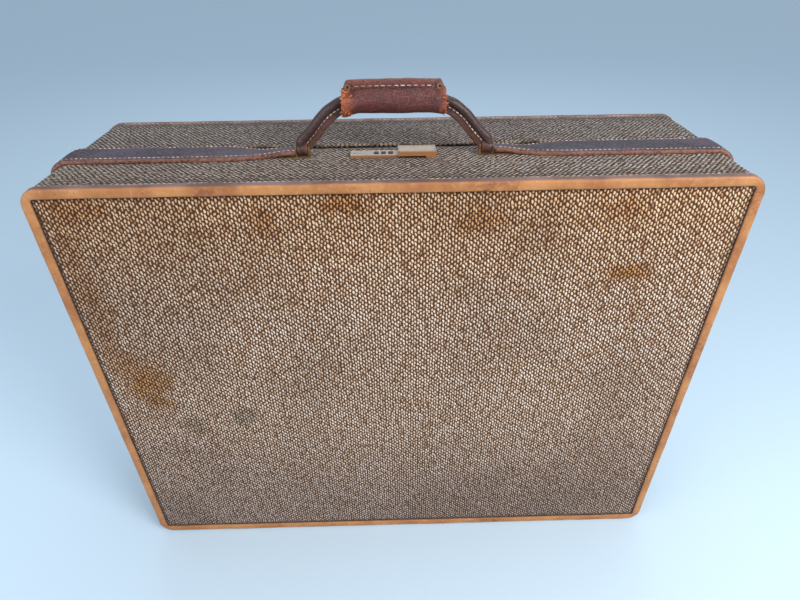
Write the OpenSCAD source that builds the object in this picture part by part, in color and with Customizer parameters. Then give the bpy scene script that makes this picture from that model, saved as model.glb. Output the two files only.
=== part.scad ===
// Hard-sided travel case with tweed covering, leather edge binding and strap,
// a stiff leather handle and a three-dial combination lock.
//
// Frame: millimetres. +X along the case, +Y from the front face to the back
// face, +Z up. The origin is on the floor, under the middle of the case.
// The front half (the body) carries the handle and lock. The rear half (the
// lid) turns about three butt hinges under the seam.

/* [Case] */
// Overall length of the case, over the leather binding
case_w = 660; // [600:5:720]
// Height from the floor to the top of the binding
case_h = 504; // [440:2:540]
// Depth from the front binding to the back binding
case_d = 196; // [180:2:220]
// Outer radius of the four rounded corners
corner_r = 18; // [16:1:40]

/* [Shell] */
// Thickness of the basswood rails
rail_t = 6; // [5:0.5:8]
// Thickness of the plywood front and back panels
panel_t = 4; // [3:0.5:5]
// Thickness of the woven covering
tweed_t = 1.2; // [0.8:0.1:1.6]
// Width of leather binding on the face and on the sides
binding_w = 10; // [8:0.5:14]
// Half of the gap between the two halves of the case
seam_gap = 0.9; // [0.8:0.1:1.2]

/* [Handle] */
// Distance between the two handle pivots
handle_span = 178; // [170:2:190]
// Length of the leather grip
grip_len = 96; // [88:1:100]
// Height of the grip's centre line above the pivots
grip_rise = 45.5; // [42:0.5:48]

/* [Strap] */
// Width of the leather strap
strap_w = 36; // [28:1:36]
// Thickness of the leather strap
strap_t = 5; // [4:0.5:6]

/* [Lock] */
// Length of the lock plate
lock_len = 81; // [80:0.5:84]
// Width of the lock plate
lock_w = 14; // [14:0.5:16]
// Travel of the latch slide
latch_travel = 7; // [5:0.5:7]

/* [Hidden] */
$fn = 64;

// Heights: the feet stand on the floor, and the binding clears it a little.
base_z = 1.5;
mid_z = (base_z + case_h) / 2;
half_w = case_w / 2;
half_d = case_d / 2;

// Insets from the binding's outer surface to each layer of the side walls.
glue = 0.1;
tweed_in = 1;
rail_in = tweed_in + tweed_t + glue;
lining_in = rail_in + rail_t + glue;
lining_t = 0.8;
tongue_in = lining_in + lining_t + 0.4;
tongue_t = 1.2;
tongue_reach = 5;
tongue_root = 12;

// Layers of the front and back faces, as depths from the binding's face.
flange_t = 2;
face_tweed_at = flange_t + glue;
panel_at = face_tweed_at + tweed_t + glue;
wall_at = panel_at + panel_t + glue;
floor_t = 0.8;
valance_t = 1.2;
lip_w = 8;
lip_t = 0.9;

// The strap, handle and lock lie on the body half, in front of the seam.
deck_z = case_h - tweed_in;
strap_y = -19.5;
handle_y = -24.5;
lock_y = -26;

// Leather strap: its width profile narrows to a neck beside the handle.
strap_taper_x = [112, 140, 170];
neck_w = 14;
strap_foot_z = 60;
strap_rivet = [3.5, 1.2, 1.2, 9];

// Handle: two pivots, two bowed arms and a padded grip with a sewn fin.
pivot_z = deck_z + 7.6;
pin_r = 2;
loop_r = 6;
loop_w = 10;
arm_bow_r = 110;
arm_w = 11.4;
arm_t = 14;
grip_r = 12.5;
core_r = 8;
core_len = grip_len - 8;
grip_z = pivot_z + grip_rise;
fin_t = 6;
fin_top = 18;
fin_chamfer = 7;
eyelet_x = grip_len / 2 - 6;
eyelet_z = grip_z + 11.6;
eyelet_r = 1.9;
eyelet_rim = 0.9;
eyelet_rim_t = 0.6;
eyelet_wall = 0.6;
ear_t = 1.5;
ear_gap = 0.4;
ear_x = loop_w / 2 + ear_gap;
ear_r = 4;
saddle_x = [-7.5, 23];
saddle_w = 12;
saddle_t = 1.2;
saddle_screw_dx = [11.5, 19.5];
saddle_screw = [1.9, 0.5, 1, 6];
running_fit = 0.06;

// Lock: dials turn about X under windows in the plate.
lock_x0 = -43;
plate_t = 3;
lock_screw_x = [lock_x0 + 4, lock_x0 + lock_len - 2.3];
lock_screw = [1.8, 0.6, 0.9, 7];
dial_r = 5.5;
dial_t = 4.2;
dial_pitch = 7;
dial_x = [for (i = [0:2]) -18 + i * dial_pitch];
dial_digits = 10;
groove_r = 0.45;
groove_lift = 0.15;
dial_z = deck_z + plate_t + 0.4 - dial_r;
shaft_r = 1.5;
shaft_len = 2 * dial_pitch + dial_t + 6;
window_play = 0.3;
window_w = 8;
plate_skin = 1;
dial_pocket_w = 11.4;
case_wall = 0.6;
bulkhead_t = 1;
bulkhead_gap = 1.6;
case_x = [-34, 34.3];
case_y = [lock_y - 6.6, lock_y + 6.6];
case_z = [deck_z - 16, deck_z - 0.1];
slide_x = [3, 40];
slide_w = 19;
slide_top = deck_z + 6.5;
slide_wall = 1.3;
slide_lift = 0.4;
skirt_end = 10;
skirt_z = 2;
stem_x = [11, 17];
stem_top = deck_z + plate_t + 0.9;
stem_w = 3.6;
stem_slot = [0.5, 4.4];
bolt_z = deck_z - 6;
bolt_x = [11, 26];
bolt_y = [lock_y - 5, lock_y + 5.4];
bolt_t = 1.5;
spring_r = 2;
wire_r = 0.35;
spring_turns = 7;
lever_x = -28;
lever_travel = 2;
lever_stem = 2.4;
lever_slot = 3.2;
lever_head = [6, 5];
lever_top = 2.4;

// Catch: a T-shaped plate on the lid that reaches into the lock case.
catch_x = [10, 22];
catch_neck_x = [13, 19];
catch_z = case_h - 14.2;
catch_t = 1.4;
catch_y = [-29, -26];
catch_root_y = [7, 16];
catch_rivet = [1.6, 0.7, 0.9, 6];
jaw_gap = 0.3;
jaw_w = 2;

// Hinges: leaves are let into the covering, with the pin level with their outer face.
hinge_z = base_z + tweed_in - 0.4;
leaf_t = 0.9;
leaf_w = 16;
hinge_len = 50;
knuckles = 5;
knuckle_len = hinge_len / knuckles;
knuckle_play = 0.15;
knuckle_clear = 0.3;
barrel_r = 1.9;
hinge_pin_r = 0.9;
hinge_xs = [-215, 0, 215];
hinge_relief = 2.6;
hinge_relief_top = hinge_z + 3;
hinge_relief_end = 0.5;
hinge_rivet = [2, 0.7, 1, 6];
hinge_rivet_y = 11;

// Feet
foot_r = 8;
foot_x = 285;
foot_y = 72;
foot_h = base_z + tweed_in;
nail_r = 1.2;
nail_len = 6;

// Packing straps and pocket
tie_x = 150;
tie_w = 38;
tie_t = 1.6;
tie_y = -half_d + wall_at + floor_t + glue;
tie_z = [40, case_h - 40];
buckle_z = mid_z + 30;
buckle_t = 2;
buckle_edge = 4;
buckle_h = 26;
buckle_slot_h = 7;
buckle_slot_dz = 5.5;
anchor_t = 1.2;
anchor_edge = 2;
anchor_h = 10;
pocket_y = half_d - wall_at - floor_t - glue;
pocket_t = 2;
pocket_x = 290;
pocket_z = [36, 300];
pocket_trim_w = 16;
pocket_trim_t = 1.2;

// Fasteners sit in holes a little larger than themselves.
hole_fit = 0.05;

// Overlap that makes touching shapes one solid, and how far a cutting shape
// reaches past what it cuts.
join = 0.1;
overcut = 10;

// Colours
tweed_colour = "tan";
binding_colour = "peru";
strap_colour = "saddlebrown";
grip_colour = "sienna";
wood_colour = "burlywood";
brass_colour = "goldenrod";
steel_colour = "silver";
lining_colour = "wheat";

// ---------- Shared shapes ----------

// Outline of the case in the XZ plane, drawn inset from the outermost surface.
module outline(inset) {
    w = case_w - 2 * inset;
    h = case_h - base_z - 2 * inset;
    r = corner_r - inset;
    translate([0, mid_z]) {
        square([w - 2 * r, h], center = true);
        square([w, h - 2 * r], center = true);
        for (sx = [-1, 1], sy = [-1, 1])
            translate([sx * (w / 2 - r), sy * (h / 2 - r)]) circle(r);
    }
}

// Extrudes an XZ outline from y0 to y1.
module along_y(y0, y1) {
    translate([0, y1, 0]) rotate([90, 0, 0]) linear_extrude(y1 - y0) children();
}

// A closed ring between two insets.
module ring(in_a, in_b, y0, y1) {
    along_y(y0, y1) difference() {
        outline(in_a);
        outline(in_b);
    }
}

// A slab filling the outline at an inset.
module slab(inset, y0, y1) {
    along_y(y0, y1) outline(inset);
}

// A box given by its lowest and highest corners.
module box(a, b) {
    translate(a) cube(b - a);
}

// A cylinder along X, centred at [x, y, z].
module rod_x(p, r, len) {
    translate(p) rotate([0, 90, 0]) cylinder(r = r, h = len, center = true);
}

// Turns a body-side shape into the matching lid-side shape.
module other_half() {
    mirror([0, 1, 0]) children();
}

// Reliefs that let the hinge barrels sit in the seam.
module hinge_reliefs() {
    for (x = hinge_xs)
        box([x - hinge_len / 2 - hinge_relief_end, -hinge_relief, 0],
            [x + hinge_len / 2 + hinge_relief_end, hinge_relief, hinge_relief_top]);
}

// Shallow seats in the covering for the hinge leaves.
module leaf_seats() {
    for (x = hinge_xs)
        box([x - hinge_len / 2 - glue, -leaf_w - glue, 0],
            [x + hinge_len / 2 + glue, leaf_w + glue, hinge_z + leaf_t]);
}

// The hole through the top wall of the body that the lock case drops into.
module lock_cutout() {
    box([case_x[0] - glue, case_y[0] - glue, case_z[0] - glue],
        [case_x[1] + glue, case_y[1] + glue, deck_z + 1]);
}

// A round-headed fastener: the head sits on the origin, the shank runs to -Z.
// size holds the head's radius and height, and the shank's radius and length.
module rivet(size) {
    ball_r = (size[0] * size[0] + size[1] * size[1]) / (2 * size[1]);
    intersection() {
        cylinder(r = size[0], h = size[1]);
        translate([0, 0, size[1] - ball_r]) sphere(ball_r);
    }
    translate([0, 0, -size[3]]) cylinder(r = size[2], h = size[3] + join);
}

// A flat-headed fastener, with its sizes held in the same order.
module flat_screw(size) {
    cylinder(r = size[0], h = size[1]);
    translate([0, 0, -size[3]]) cylinder(r = size[2], h = size[3] + join);
}

// The hole for a shank, from the head's seat down.
module shank_hole(r, len) {
    translate([0, 0, -len - hole_fit]) cylinder(r = r + hole_fit, h = len + 1);
}

// Where each group of fasteners goes, with -Z pointing into the case.
module at_strap_rivets() {
    for (s = [-1, 1], dy = [-10, 10])
        translate([s * (half_w - tweed_in + strap_t), strap_y + dy, strap_foot_z + 10])
            rotate([0, s * 90, 0]) children();
}

module at_saddle_screws() {
    for (s = [-1, 1], dx = saddle_screw_dx)
        translate([s * (handle_span / 2 + dx), handle_y, deck_z + saddle_t]) children();
}

module at_lock_screws() {
    for (x = lock_screw_x)
        translate([x, lock_y, deck_z + plate_t]) children();
}

module at_hinge_rivets(side) {
    for (x = hinge_xs, dx = [-18, 0, 18])
        translate([x + dx, side * hinge_rivet_y, hinge_z]) mirror([0, 0, 1]) children();
}

module at_feet(side) {
    for (s = [-1, 1])
        translate([s * foot_x, side * foot_y, 0]) children();
}

// All the holes that fasteners make in one half of the case.
module fastener_holes(side) {
    at_hinge_rivets(side) shank_hole(hinge_rivet[2], hinge_rivet[3]);
    at_feet(side) cylinder(r = nail_r + hole_fit, h = foot_h + nail_len + hole_fit);
    if (side < 0) {
        at_strap_rivets() shank_hole(strap_rivet[2], strap_rivet[3]);
        at_saddle_screws() shank_hole(saddle_screw[2], saddle_screw[3]);
        at_lock_screws() shank_hole(lock_screw[2], lock_screw[3]);
    }
}

// ---------- Shell halves, drawn on the body side ----------

// Straight rails of the frame, one board for each side.
module rails() {
    hw = half_w - corner_r;
    hz = (case_h - base_z) / 2 - corner_r;
    y0 = -half_d + wall_at;
    y1 = -seam_gap - valance_t - glue;
    for (s = [-1, 1]) {
        zo = mid_z + s * ((case_h - base_z) / 2 - rail_in - rail_t / 2);
        box([-hw, y0, zo - rail_t / 2], [hw, y1, zo + rail_t / 2]);
        xo = s * (half_w - rail_in - rail_t / 2);
        box([xo - rail_t / 2, y0, mid_z - hz], [xo + rail_t / 2, y1, mid_z + hz]);
    }
}

// Bent corner pieces that join the rails.
module corner_blocks() {
    y0 = -half_d + wall_at;
    y1 = -seam_gap - valance_t - glue;
    r_out = corner_r - rail_in;
    for (i = [0:3]) {
        sx = [1, -1, -1, 1][i];
        sz = [1, 1, -1, -1][i];
        translate([sx * (half_w - corner_r), y1, mid_z + sz * ((case_h - base_z) / 2 - corner_r)])
            rotate([90, 0, 0]) rotate([0, 0, 90 * i]) linear_extrude(y1 - y0)
            difference() {
                intersection() {
                    circle(r_out);
                    square(r_out);
                }
                circle(r_out - rail_t);
            }
    }
}

module panel() {
    slab(rail_in, -half_d + panel_at, -half_d + panel_at + panel_t);
}

module tweed_sides() {
    ring(tweed_in, tweed_in + tweed_t, -half_d + face_tweed_at, -seam_gap);
}

module tweed_face() {
    slab(rail_in, -half_d + face_tweed_at, -half_d + face_tweed_at + tweed_t);
}

// Leather edge: a flange on the face and a band round the sides.
module binding() {
    ring(0, binding_w, -half_d, -half_d + flange_t);
    ring(0, tweed_in - glue, -half_d + flange_t, -half_d + binding_w);
}

// Cloth lining: side walls and a floor against the panel.
module lining() {
    y0 = -half_d + wall_at;
    ring(lining_in, lining_in + lining_t, y0, -seam_gap - valance_t - glue);
    slab(lining_in + lining_t, y0, y0 + floor_t);
}

// Metal edge of one half: a flange over the ends of the rails.
module valance_flange() {
    ring(rail_in, lining_in + lining_t, -seam_gap - valance_t, -seam_gap);
}

// ---------- Body half ----------

module body_rails() {
    color(wood_colour) difference() {
        rails();
        hinge_reliefs();
        lock_cutout();
        fastener_holes(-1);
    }
}

module body_corner_blocks() {
    color(wood_colour) corner_blocks();
}

module body_panel() {
    color(wood_colour) panel();
}

module body_tweed_sides() {
    color(tweed_colour) difference() {
        tweed_sides();
        hinge_reliefs();
        leaf_seats();
        lock_cutout();
        fastener_holes(-1);
    }
}

module body_tweed_face() {
    color(tweed_colour) tweed_face();
}

module body_binding() {
    color(binding_colour) binding();
}

// The body's metal edge also carries the tongue that the lid closes over.
module body_valance() {
    color(steel_colour) difference() {
        union() {
            valance_flange();
            ring(lining_in + lining_t, tongue_in + tongue_t, -seam_gap - valance_t, -seam_gap);
            ring(tongue_in, tongue_in + tongue_t, -tongue_root, tongue_reach);
        }
        hinge_reliefs();
    }
}

module body_lining() {
    color(lining_colour) difference() {
        lining();
        lock_cutout();
    }
}

// ---------- Packing straps inside the body ----------

// A webbing strap that lies against the floor of the body.
module tie_strap(side) {
    x = side * tie_x;
    color("tan") box([x - tie_w / 2, tie_y, tie_z[0]], [x + tie_w / 2, tie_y + tie_t, tie_z[1]]);
}

// Metal plates that hold down the four ends of the packing straps.
module tie_strap_anchors() {
    color(brass_colour)
        for (s = [-1, 1], z = tie_z)
            box([s * tie_x - tie_w / 2 - anchor_edge, tie_y + tie_t, z - anchor_h / 2],
                [s * tie_x + tie_w / 2 + anchor_edge, tie_y + tie_t + anchor_t, z + anchor_h / 2]);
}

// A flat buckle on each packing strap, with two slots and a centre bar.
module tie_buckles() {
    color(brass_colour)
        for (s = [-1, 1])
            translate([s * tie_x, tie_y + tie_t, buckle_z]) difference() {
                box([-tie_w / 2 - buckle_edge, 0, -buckle_h / 2],
                    [tie_w / 2 + buckle_edge, buckle_t, buckle_h / 2]);
                for (dz = [-buckle_slot_dz, buckle_slot_dz])
                    box([-tie_w / 2 - 0.5, -1, dz - buckle_slot_h / 2],
                        [tie_w / 2 + 0.5, buckle_t + 1, dz + buckle_slot_h / 2]);
            }
}

// ---------- Leather strap over the top and down each end ----------

neck_x = handle_span / 2 + ear_x + ear_t + 0.6;
neck_dy = handle_y - strap_y;

// Plan of the strap on top of the case, for the right-hand end.
module strap_plan() {
    w = strap_w / 2;
    n = neck_w / 2;
    polygon([
        [half_w - corner_r, -w], [strap_taper_x[2], -w], [strap_taper_x[1], neck_dy - n - 3],
        [strap_taper_x[0], neck_dy - n], [neck_x, neck_dy - n], [neck_x, neck_dy + n],
        [strap_taper_x[0], neck_dy + n], [strap_taper_x[1], neck_dy + n + 7],
        [strap_taper_x[2], w], [half_w - corner_r, w]]);
}

// Strap for the right-hand end: flat run, bend over the corner, end run.
module strap_right_shape() {
    bend_r = corner_r - tweed_in;
    difference() {
        translate([0, strap_y, deck_z]) linear_extrude(strap_t) strap_plan();
        box([0, handle_y - 10, deck_z - 1],
            [handle_span / 2 + saddle_x[1] + 0.3, handle_y + 10, deck_z + saddle_t + 0.8]);
    }
    translate([half_w - corner_r, strap_y, case_h - corner_r]) rotate([90, 0, 0])
        linear_extrude(strap_w, center = true) difference() {
            intersection() {
                circle(bend_r + strap_t);
                square(bend_r + strap_t);
            }
            circle(bend_r);
        }
    box([half_w - tweed_in, strap_y - strap_w / 2, strap_foot_z],
        [half_w - tweed_in + strap_t, strap_y + strap_w / 2, case_h - corner_r]);
}

module strap(side) {
    color(strap_colour) difference() {
        mirror([side < 0 ? 1 : 0, 0, 0]) strap_right_shape();
        at_strap_rivets() shank_hole(strap_rivet[2], strap_rivet[3]);
    }
}

module strap_rivets() {
    color(brass_colour) at_strap_rivets() rivet(strap_rivet);
}

// ---------- Handle ----------

// Metal saddle: a plate that runs out under the strap, and two ears with a pin.
module handle_base(side) {
    x0 = handle_span / 2;
    color(brass_colour) difference() {
        mirror([side < 0 ? 1 : 0, 0, 0]) {
            box([x0 + saddle_x[0], handle_y - saddle_w / 2, deck_z],
                [x0 + saddle_x[1], handle_y + saddle_w / 2, deck_z + saddle_t]);
            for (s = [-1, 1]) {
                box([x0 + s * (ear_x + ear_t / 2) - ear_t / 2, handle_y - ear_r, deck_z],
                    [x0 + s * (ear_x + ear_t / 2) + ear_t / 2, handle_y + ear_r, pivot_z]);
                rod_x([x0 + s * (ear_x + ear_t / 2), handle_y, pivot_z], ear_r, ear_t);
            }
            rod_x([x0, handle_y, pivot_z], pin_r, 2 * (ear_x + join));
        }
        at_saddle_screws() shank_hole(saddle_screw[2], saddle_screw[3]);
    }
}

// Screws that hold the two saddles to the top rail, hidden under the straps.
module handle_base_screws() {
    color(brass_colour) at_saddle_screws() flat_screw(saddle_screw);
}

// Stiffener inside the grip.
module handle_core() {
    color(steel_colour) rod_x([0, handle_y, grip_z], core_r, core_len);
}

// Leather wrapped round the core, with its two edges sewn into a fin on top.
// Two holes through the fin have spot faces for the rims of the eyelets.
module handle_grip() {
    h = grip_len / 2;
    color(grip_colour) difference() {
        union() {
            rod_x([0, handle_y, grip_z], grip_r, grip_len);
            translate([0, handle_y + fin_t / 2, grip_z]) rotate([90, 0, 0]) linear_extrude(fin_t)
                polygon([[-h, 0], [h, 0], [h, fin_top - fin_chamfer], [h - fin_chamfer / 2, fin_top],
                    [fin_chamfer / 2 - h, fin_top], [-h, fin_top - fin_chamfer]]);
        }
        rod_x([0, handle_y, grip_z], core_r + glue, core_len + 2 * glue);
        at_eyelets() {
            cylinder(r = eyelet_r + hole_fit, h = fin_t + 2 * overcut, center = true);
            for (e = [-1, 1])
                translate([0, 0, e * (fin_t / 2 + overcut)])
                    cylinder(r = eyelet_r + eyelet_rim + glue, h = 2 * overcut, center = true);
        }
    }
}

module at_eyelets() {
    for (s = [-1, 1])
        translate([s * eyelet_x, handle_y, eyelet_z]) rotate([90, 0, 0]) children();
}

// Brass tubes through the two ends of the fin.
module handle_eyelets() {
    color(brass_colour) at_eyelets() difference() {
        union() {
            cylinder(r = eyelet_r, h = fin_t + 2 * glue, center = true);
            for (e = [-1, 1])
                translate([0, 0, e * (fin_t / 2 + glue + eyelet_rim_t / 2)])
                    cylinder(r = eyelet_r + eyelet_rim, h = eyelet_rim_t, center = true);
        }
        cylinder(r = eyelet_r - eyelet_wall, h = fin_t + 2 * overcut, center = true);
    }
}

// The arm's arc runs from the pivot to the grip's end, bowed outwards.
arm_top = [grip_len / 2, grip_z - 4];
arm_foot = [handle_span / 2, pivot_z + 2];
arm_chord = norm(arm_top - arm_foot);
arm_half = asin(arm_chord / 2 / arm_bow_r);
arm_mid = 90 + atan2(arm_foot.y - arm_top.y, arm_foot.x - arm_top.x);
arm_centre = (arm_top + arm_foot) / 2 - arm_bow_r * cos(arm_half) * [cos(arm_mid), sin(arm_mid)];
arm_overrun = 4;
arm_trim = 30;
cheek_z = [-12, 5];

// Rolled leather arm: a bowed bar that ends in a loop round the pivot pin. It is
// cut square against the grip, and thinned to the loop's width between the ears.
module handle_arm(side) {
    x0 = handle_span / 2;
    color(strap_colour) mirror([side < 0 ? 1 : 0, 0, 0]) difference() {
        union() {
            difference() {
                translate([arm_centre.x, handle_y, arm_centre.y]) rotate([90, 0, 0])
                    rotate([0, 0, arm_mid - arm_half]) rotate_extrude(angle = 2 * arm_half + arm_overrun)
                    translate([arm_bow_r, 0]) square([arm_t, arm_w], center = true);
                box([0, handle_y - arm_trim, pivot_z - arm_trim],
                    [x0 + arm_trim, handle_y + arm_trim, pivot_z]);
            }
            rod_x([x0, handle_y, pivot_z], loop_r, loop_w);
        }
        rod_x([x0, handle_y, pivot_z], pin_r + running_fit, loop_w + overcut);
        box([0, handle_y - arm_trim, pivot_z],
            [grip_len / 2 + glue, handle_y + arm_trim, pivot_z + 3 * arm_trim]);
        for (s = [-1, 1])
            box([x0 + min(s * loop_w / 2, s * arm_trim), handle_y - arm_trim, pivot_z + cheek_z[0]],
                [x0 + max(s * loop_w / 2, s * arm_trim), handle_y + arm_trim, pivot_z + cheek_z[1]]);
    }
}

// ---------- Lock ----------

// A box from under the plate up to height z, as wide as one dial's opening.
module dial_window(x, w, z) {
    box([x - dial_t / 2 - window_play, lock_y - w / 2, deck_z - 1],
        [x + dial_t / 2 + window_play, lock_y + w / 2, z]);
}

// Plate with a window over each dial and a slot for the slide's stem.
module lock_plate() {
    color(brass_colour) difference() {
        box([lock_x0, lock_y - lock_w / 2, deck_z],
            [lock_x0 + lock_len, lock_y + lock_w / 2, deck_z + plate_t]);
        for (x = dial_x) {
            dial_window(x, window_w, deck_z + plate_t + 1);
            dial_window(x, dial_pocket_w, deck_z + plate_t - plate_skin);
        }
        box([stem_x[0] - stem_slot[0], lock_y - stem_slot[1] / 2, deck_z - 1],
            [stem_x[1] + latch_travel + stem_slot[0], lock_y + stem_slot[1] / 2, deck_z + plate_t + 1]);
        at_lock_screws() shank_hole(lock_screw[2], lock_screw[3]);
    }
}

module lock_screws() {
    color(brass_colour) at_lock_screws() flat_screw(lock_screw);
}

// Steel box under the plate that holds the dials and the latch.
module lock_case() {
    w = case_wall;
    bulkheads = [dial_x[0] - dial_t / 2 - bulkhead_gap, dial_x[2] + dial_t / 2 + bulkhead_gap];
    color(steel_colour) difference() {
        union() {
            difference() {
                box([case_x[0], case_y[0], case_z[0]], [case_x[1], case_y[1], case_z[1]]);
                box([case_x[0] + w, case_y[0] + w, case_z[0] + w],
                    [case_x[1] - w, case_y[1] - w, case_z[1] + 1]);
            }
            for (x = bulkheads)
                box([x - bulkhead_t / 2, case_y[0] + w / 2, case_z[0] + w / 2],
                    [x + bulkhead_t / 2, case_y[1] - w / 2, case_z[1]]);
        }
        rod_x([dial_x[1], lock_y, dial_z], shaft_r + running_fit, shaft_len + 0.4);
        box([catch_x[0] - 1, lock_y, catch_z - 0.8], [catch_x[1] + 1, lock_y + 20, catch_z + catch_t + 1]);
        box([lever_x - lever_slot / 2, lock_y - lever_slot / 2, case_z[0] - 1],
            [lever_x + lever_slot / 2 + lever_travel, lock_y + lever_slot / 2, case_z[0] + 2]);
    }
}

module dial_shaft() {
    color(steel_colour) rod_x([dial_x[1], lock_y, dial_z], shaft_r, shaft_len);
}

// Number wheel with a shallow finger groove between each two digits.
module dial(i) {
    color("dimgray") difference() {
        rod_x([dial_x[i], lock_y, dial_z], dial_r, dial_t);
        rod_x([dial_x[i], lock_y, dial_z], shaft_r + running_fit, dial_t + overcut);
        for (k = [0:dial_digits - 1])
            translate([dial_x[i], lock_y, dial_z]) rotate([360 / dial_digits * (k + 0.5), 0, 0])
                rod_x([0, 0, dial_r + groove_lift], groove_r, dial_t + overcut);
    }
}

// Cover that the thumb pushes along the plate. Its front skirt stops above the
// covering, apart from the last few millimetres at the right.
module latch_slide() {
    hw = slide_w / 2;
    color(brass_colour) difference() {
        box([slide_x[0], lock_y - hw, deck_z + slide_lift], [slide_x[1], lock_y + hw, slide_top]);
        box([slide_x[0] - 1, lock_y - hw + slide_wall, deck_z],
            [slide_x[1] - slide_wall, lock_y + hw - slide_wall, stem_top]);
        box([slide_x[0] - 1, lock_y - hw - 1, deck_z],
            [slide_x[1] - skirt_end, lock_y - hw + slide_wall + 1, deck_z + skirt_z]);
    }
}

// Stem and jaw under the plate, fixed to the slide.
module latch_bolt() {
    jaw_x = catch_x[1] + jaw_gap;
    color(steel_colour) {
        box([stem_x[0], lock_y - stem_w / 2, bolt_z], [stem_x[1], lock_y + stem_w / 2, stem_top]);
        box([bolt_x[0], bolt_y[0], bolt_z - bolt_t], [bolt_x[1], bolt_y[1], bolt_z]);
        box([jaw_x, lock_y + 1, catch_z - 0.4], [jaw_x + jaw_w, bolt_y[1], bolt_z]);
    }
}

// Coil spring along X, as a wire swept in rings of six points.
module coil_spring(len, r, wire, turns) {
    steps = turns * 12;
    rings = [for (i = [0:steps]) for (j = [0:5])
        let (a = 30 * i, reach = r + wire * cos(60 * j))
        [wire + (len - 2 * wire) * i / steps + wire * sin(60 * j), reach * cos(a), reach * sin(a)]];
    sides = [for (i = [0:steps - 1]) for (j = [0:5])
        let (k = (j + 1) % 6)
        [6 * i + j, 6 * i + k, 6 * i + 6 + k, 6 * i + 6 + j]];
    polyhedron(rings, concat(sides, [[5, 4, 3, 2, 1, 0]], [[for (j = [0:5]) 6 * steps + j]]));
}

// Return spring between the bolt and the right-hand end of the case.
module latch_spring() {
    color(steel_colour) translate([bolt_x[1] + 0.1, lock_y, bolt_z - 3.2])
        coil_spring(case_x[1] - case_wall - bolt_x[1] - 0.2, spring_r, wire_r, spring_turns);
}

// Small lever under the case that sets a new number.
module change_lever() {
    a = lever_stem / 2;
    h = lever_head / 2;
    color(steel_colour) translate([lever_x, lock_y, case_z[0]]) {
        box([-a, -a, -a], [a, a, lever_top]);
        box([-h.x, -h.y, case_wall + 0.2], [h.x, h.y, lever_top]);
    }
}

// ---------- Hinges ----------

// Centre of knuckle k of the hinge at x.
function knuckle_at(x, k) = [x + (k + 0.5) * knuckle_len - hinge_len / 2, 0, hinge_z];

// Knuckles of one leaf: every other one of the barrel, starting at first.
module hinge_knuckles(x, first) {
    for (k = [first:2:knuckles - 1])
        rod_x(knuckle_at(x, k), barrel_r, knuckle_len - 2 * knuckle_play);
}

// One leaf: a plate on the covering and its knuckles, bored for the pin.
module hinge_leaf(x, first, side) {
    color(brass_colour) difference() {
        union() {
            hinge_knuckles(x, first);
            difference() {
                box([x - hinge_len / 2, side > 0 ? 0 : -leaf_w, hinge_z],
                    [x + hinge_len / 2, side > 0 ? leaf_w : 0, hinge_z + leaf_t]);
                for (k = [1 - first:2:knuckles - 1])
                    rod_x(knuckle_at(x, k), barrel_r + knuckle_clear, knuckle_len + 2 * knuckle_play);
            }
        }
        rod_x([x, 0, hinge_z], hinge_pin_r + running_fit, hinge_len + overcut);
        at_hinge_rivets(side) shank_hole(hinge_rivet[2], hinge_rivet[3]);
    }
}

module hinge_pin(x) {
    color(steel_colour) rod_x([x, 0, hinge_z], hinge_pin_r, hinge_len + 0.4);
}

// Rivets that clinch the leaves to the bottom rails.
module hinge_rivets(side) {
    color(brass_colour) at_hinge_rivets(side) rivet(hinge_rivet);
}

// Flat-bottomed glides nailed under one half.
module feet(side) {
    color(brass_colour) at_feet(side) {
        cylinder(r1 = foot_r - 2, r2 = foot_r, h = foot_h - 1);
        translate([0, 0, foot_h - 1]) cylinder(r = foot_r, h = 1);
        cylinder(r = nail_r, h = foot_h + nail_len);
    }
}

// ---------- Lid half ----------

module lid_rails() {
    color(wood_colour) difference() {
        other_half() rails();
        hinge_reliefs();
        fastener_holes(1);
        at_catch_rivets() shank_hole(catch_rivet[2], catch_rivet[3]);
    }
}

module lid_corner_blocks() {
    color(wood_colour) other_half() corner_blocks();
}

module lid_panel() {
    color(wood_colour) other_half() panel();
}

// The lid's covering ends in a thicker rolled lip beside the seam.
module lid_tweed_sides() {
    color(tweed_colour) difference() {
        union() {
            other_half() tweed_sides();
            difference() {
                ring(tweed_in - lip_t, tweed_in + join, seam_gap, seam_gap + lip_w);
                box([-half_w, 0, 0], [half_w, half_d, base_z + tweed_in]);
            }
        }
        hinge_reliefs();
        leaf_seats();
        fastener_holes(1);
    }
}

module lid_tweed_face() {
    color(tweed_colour) other_half() tweed_face();
}

module lid_binding() {
    color(binding_colour) other_half() binding();
}

module lid_valance() {
    color(steel_colour) difference() {
        other_half() valance_flange();
        hinge_reliefs();
    }
}

module lid_lining() {
    color(lining_colour) difference() {
        other_half() lining();
        at_catch_rivets() shank_hole(catch_rivet[2], catch_rivet[3]);
    }
}

// Gathered pocket across the floor of the lid.
module lid_pocket() {
    color(lining_colour)
        box([-pocket_x, pocket_y - pocket_t, pocket_z[0]], [pocket_x, pocket_y, pocket_z[1]]);
}

// Leather band along the mouth of the pocket.
module lid_pocket_trim() {
    color(strap_colour)
        box([-pocket_x, pocket_y - pocket_t - pocket_trim_t, pocket_z[1] - pocket_trim_w],
            [pocket_x, pocket_y - pocket_t, pocket_z[1]]);
}

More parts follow.
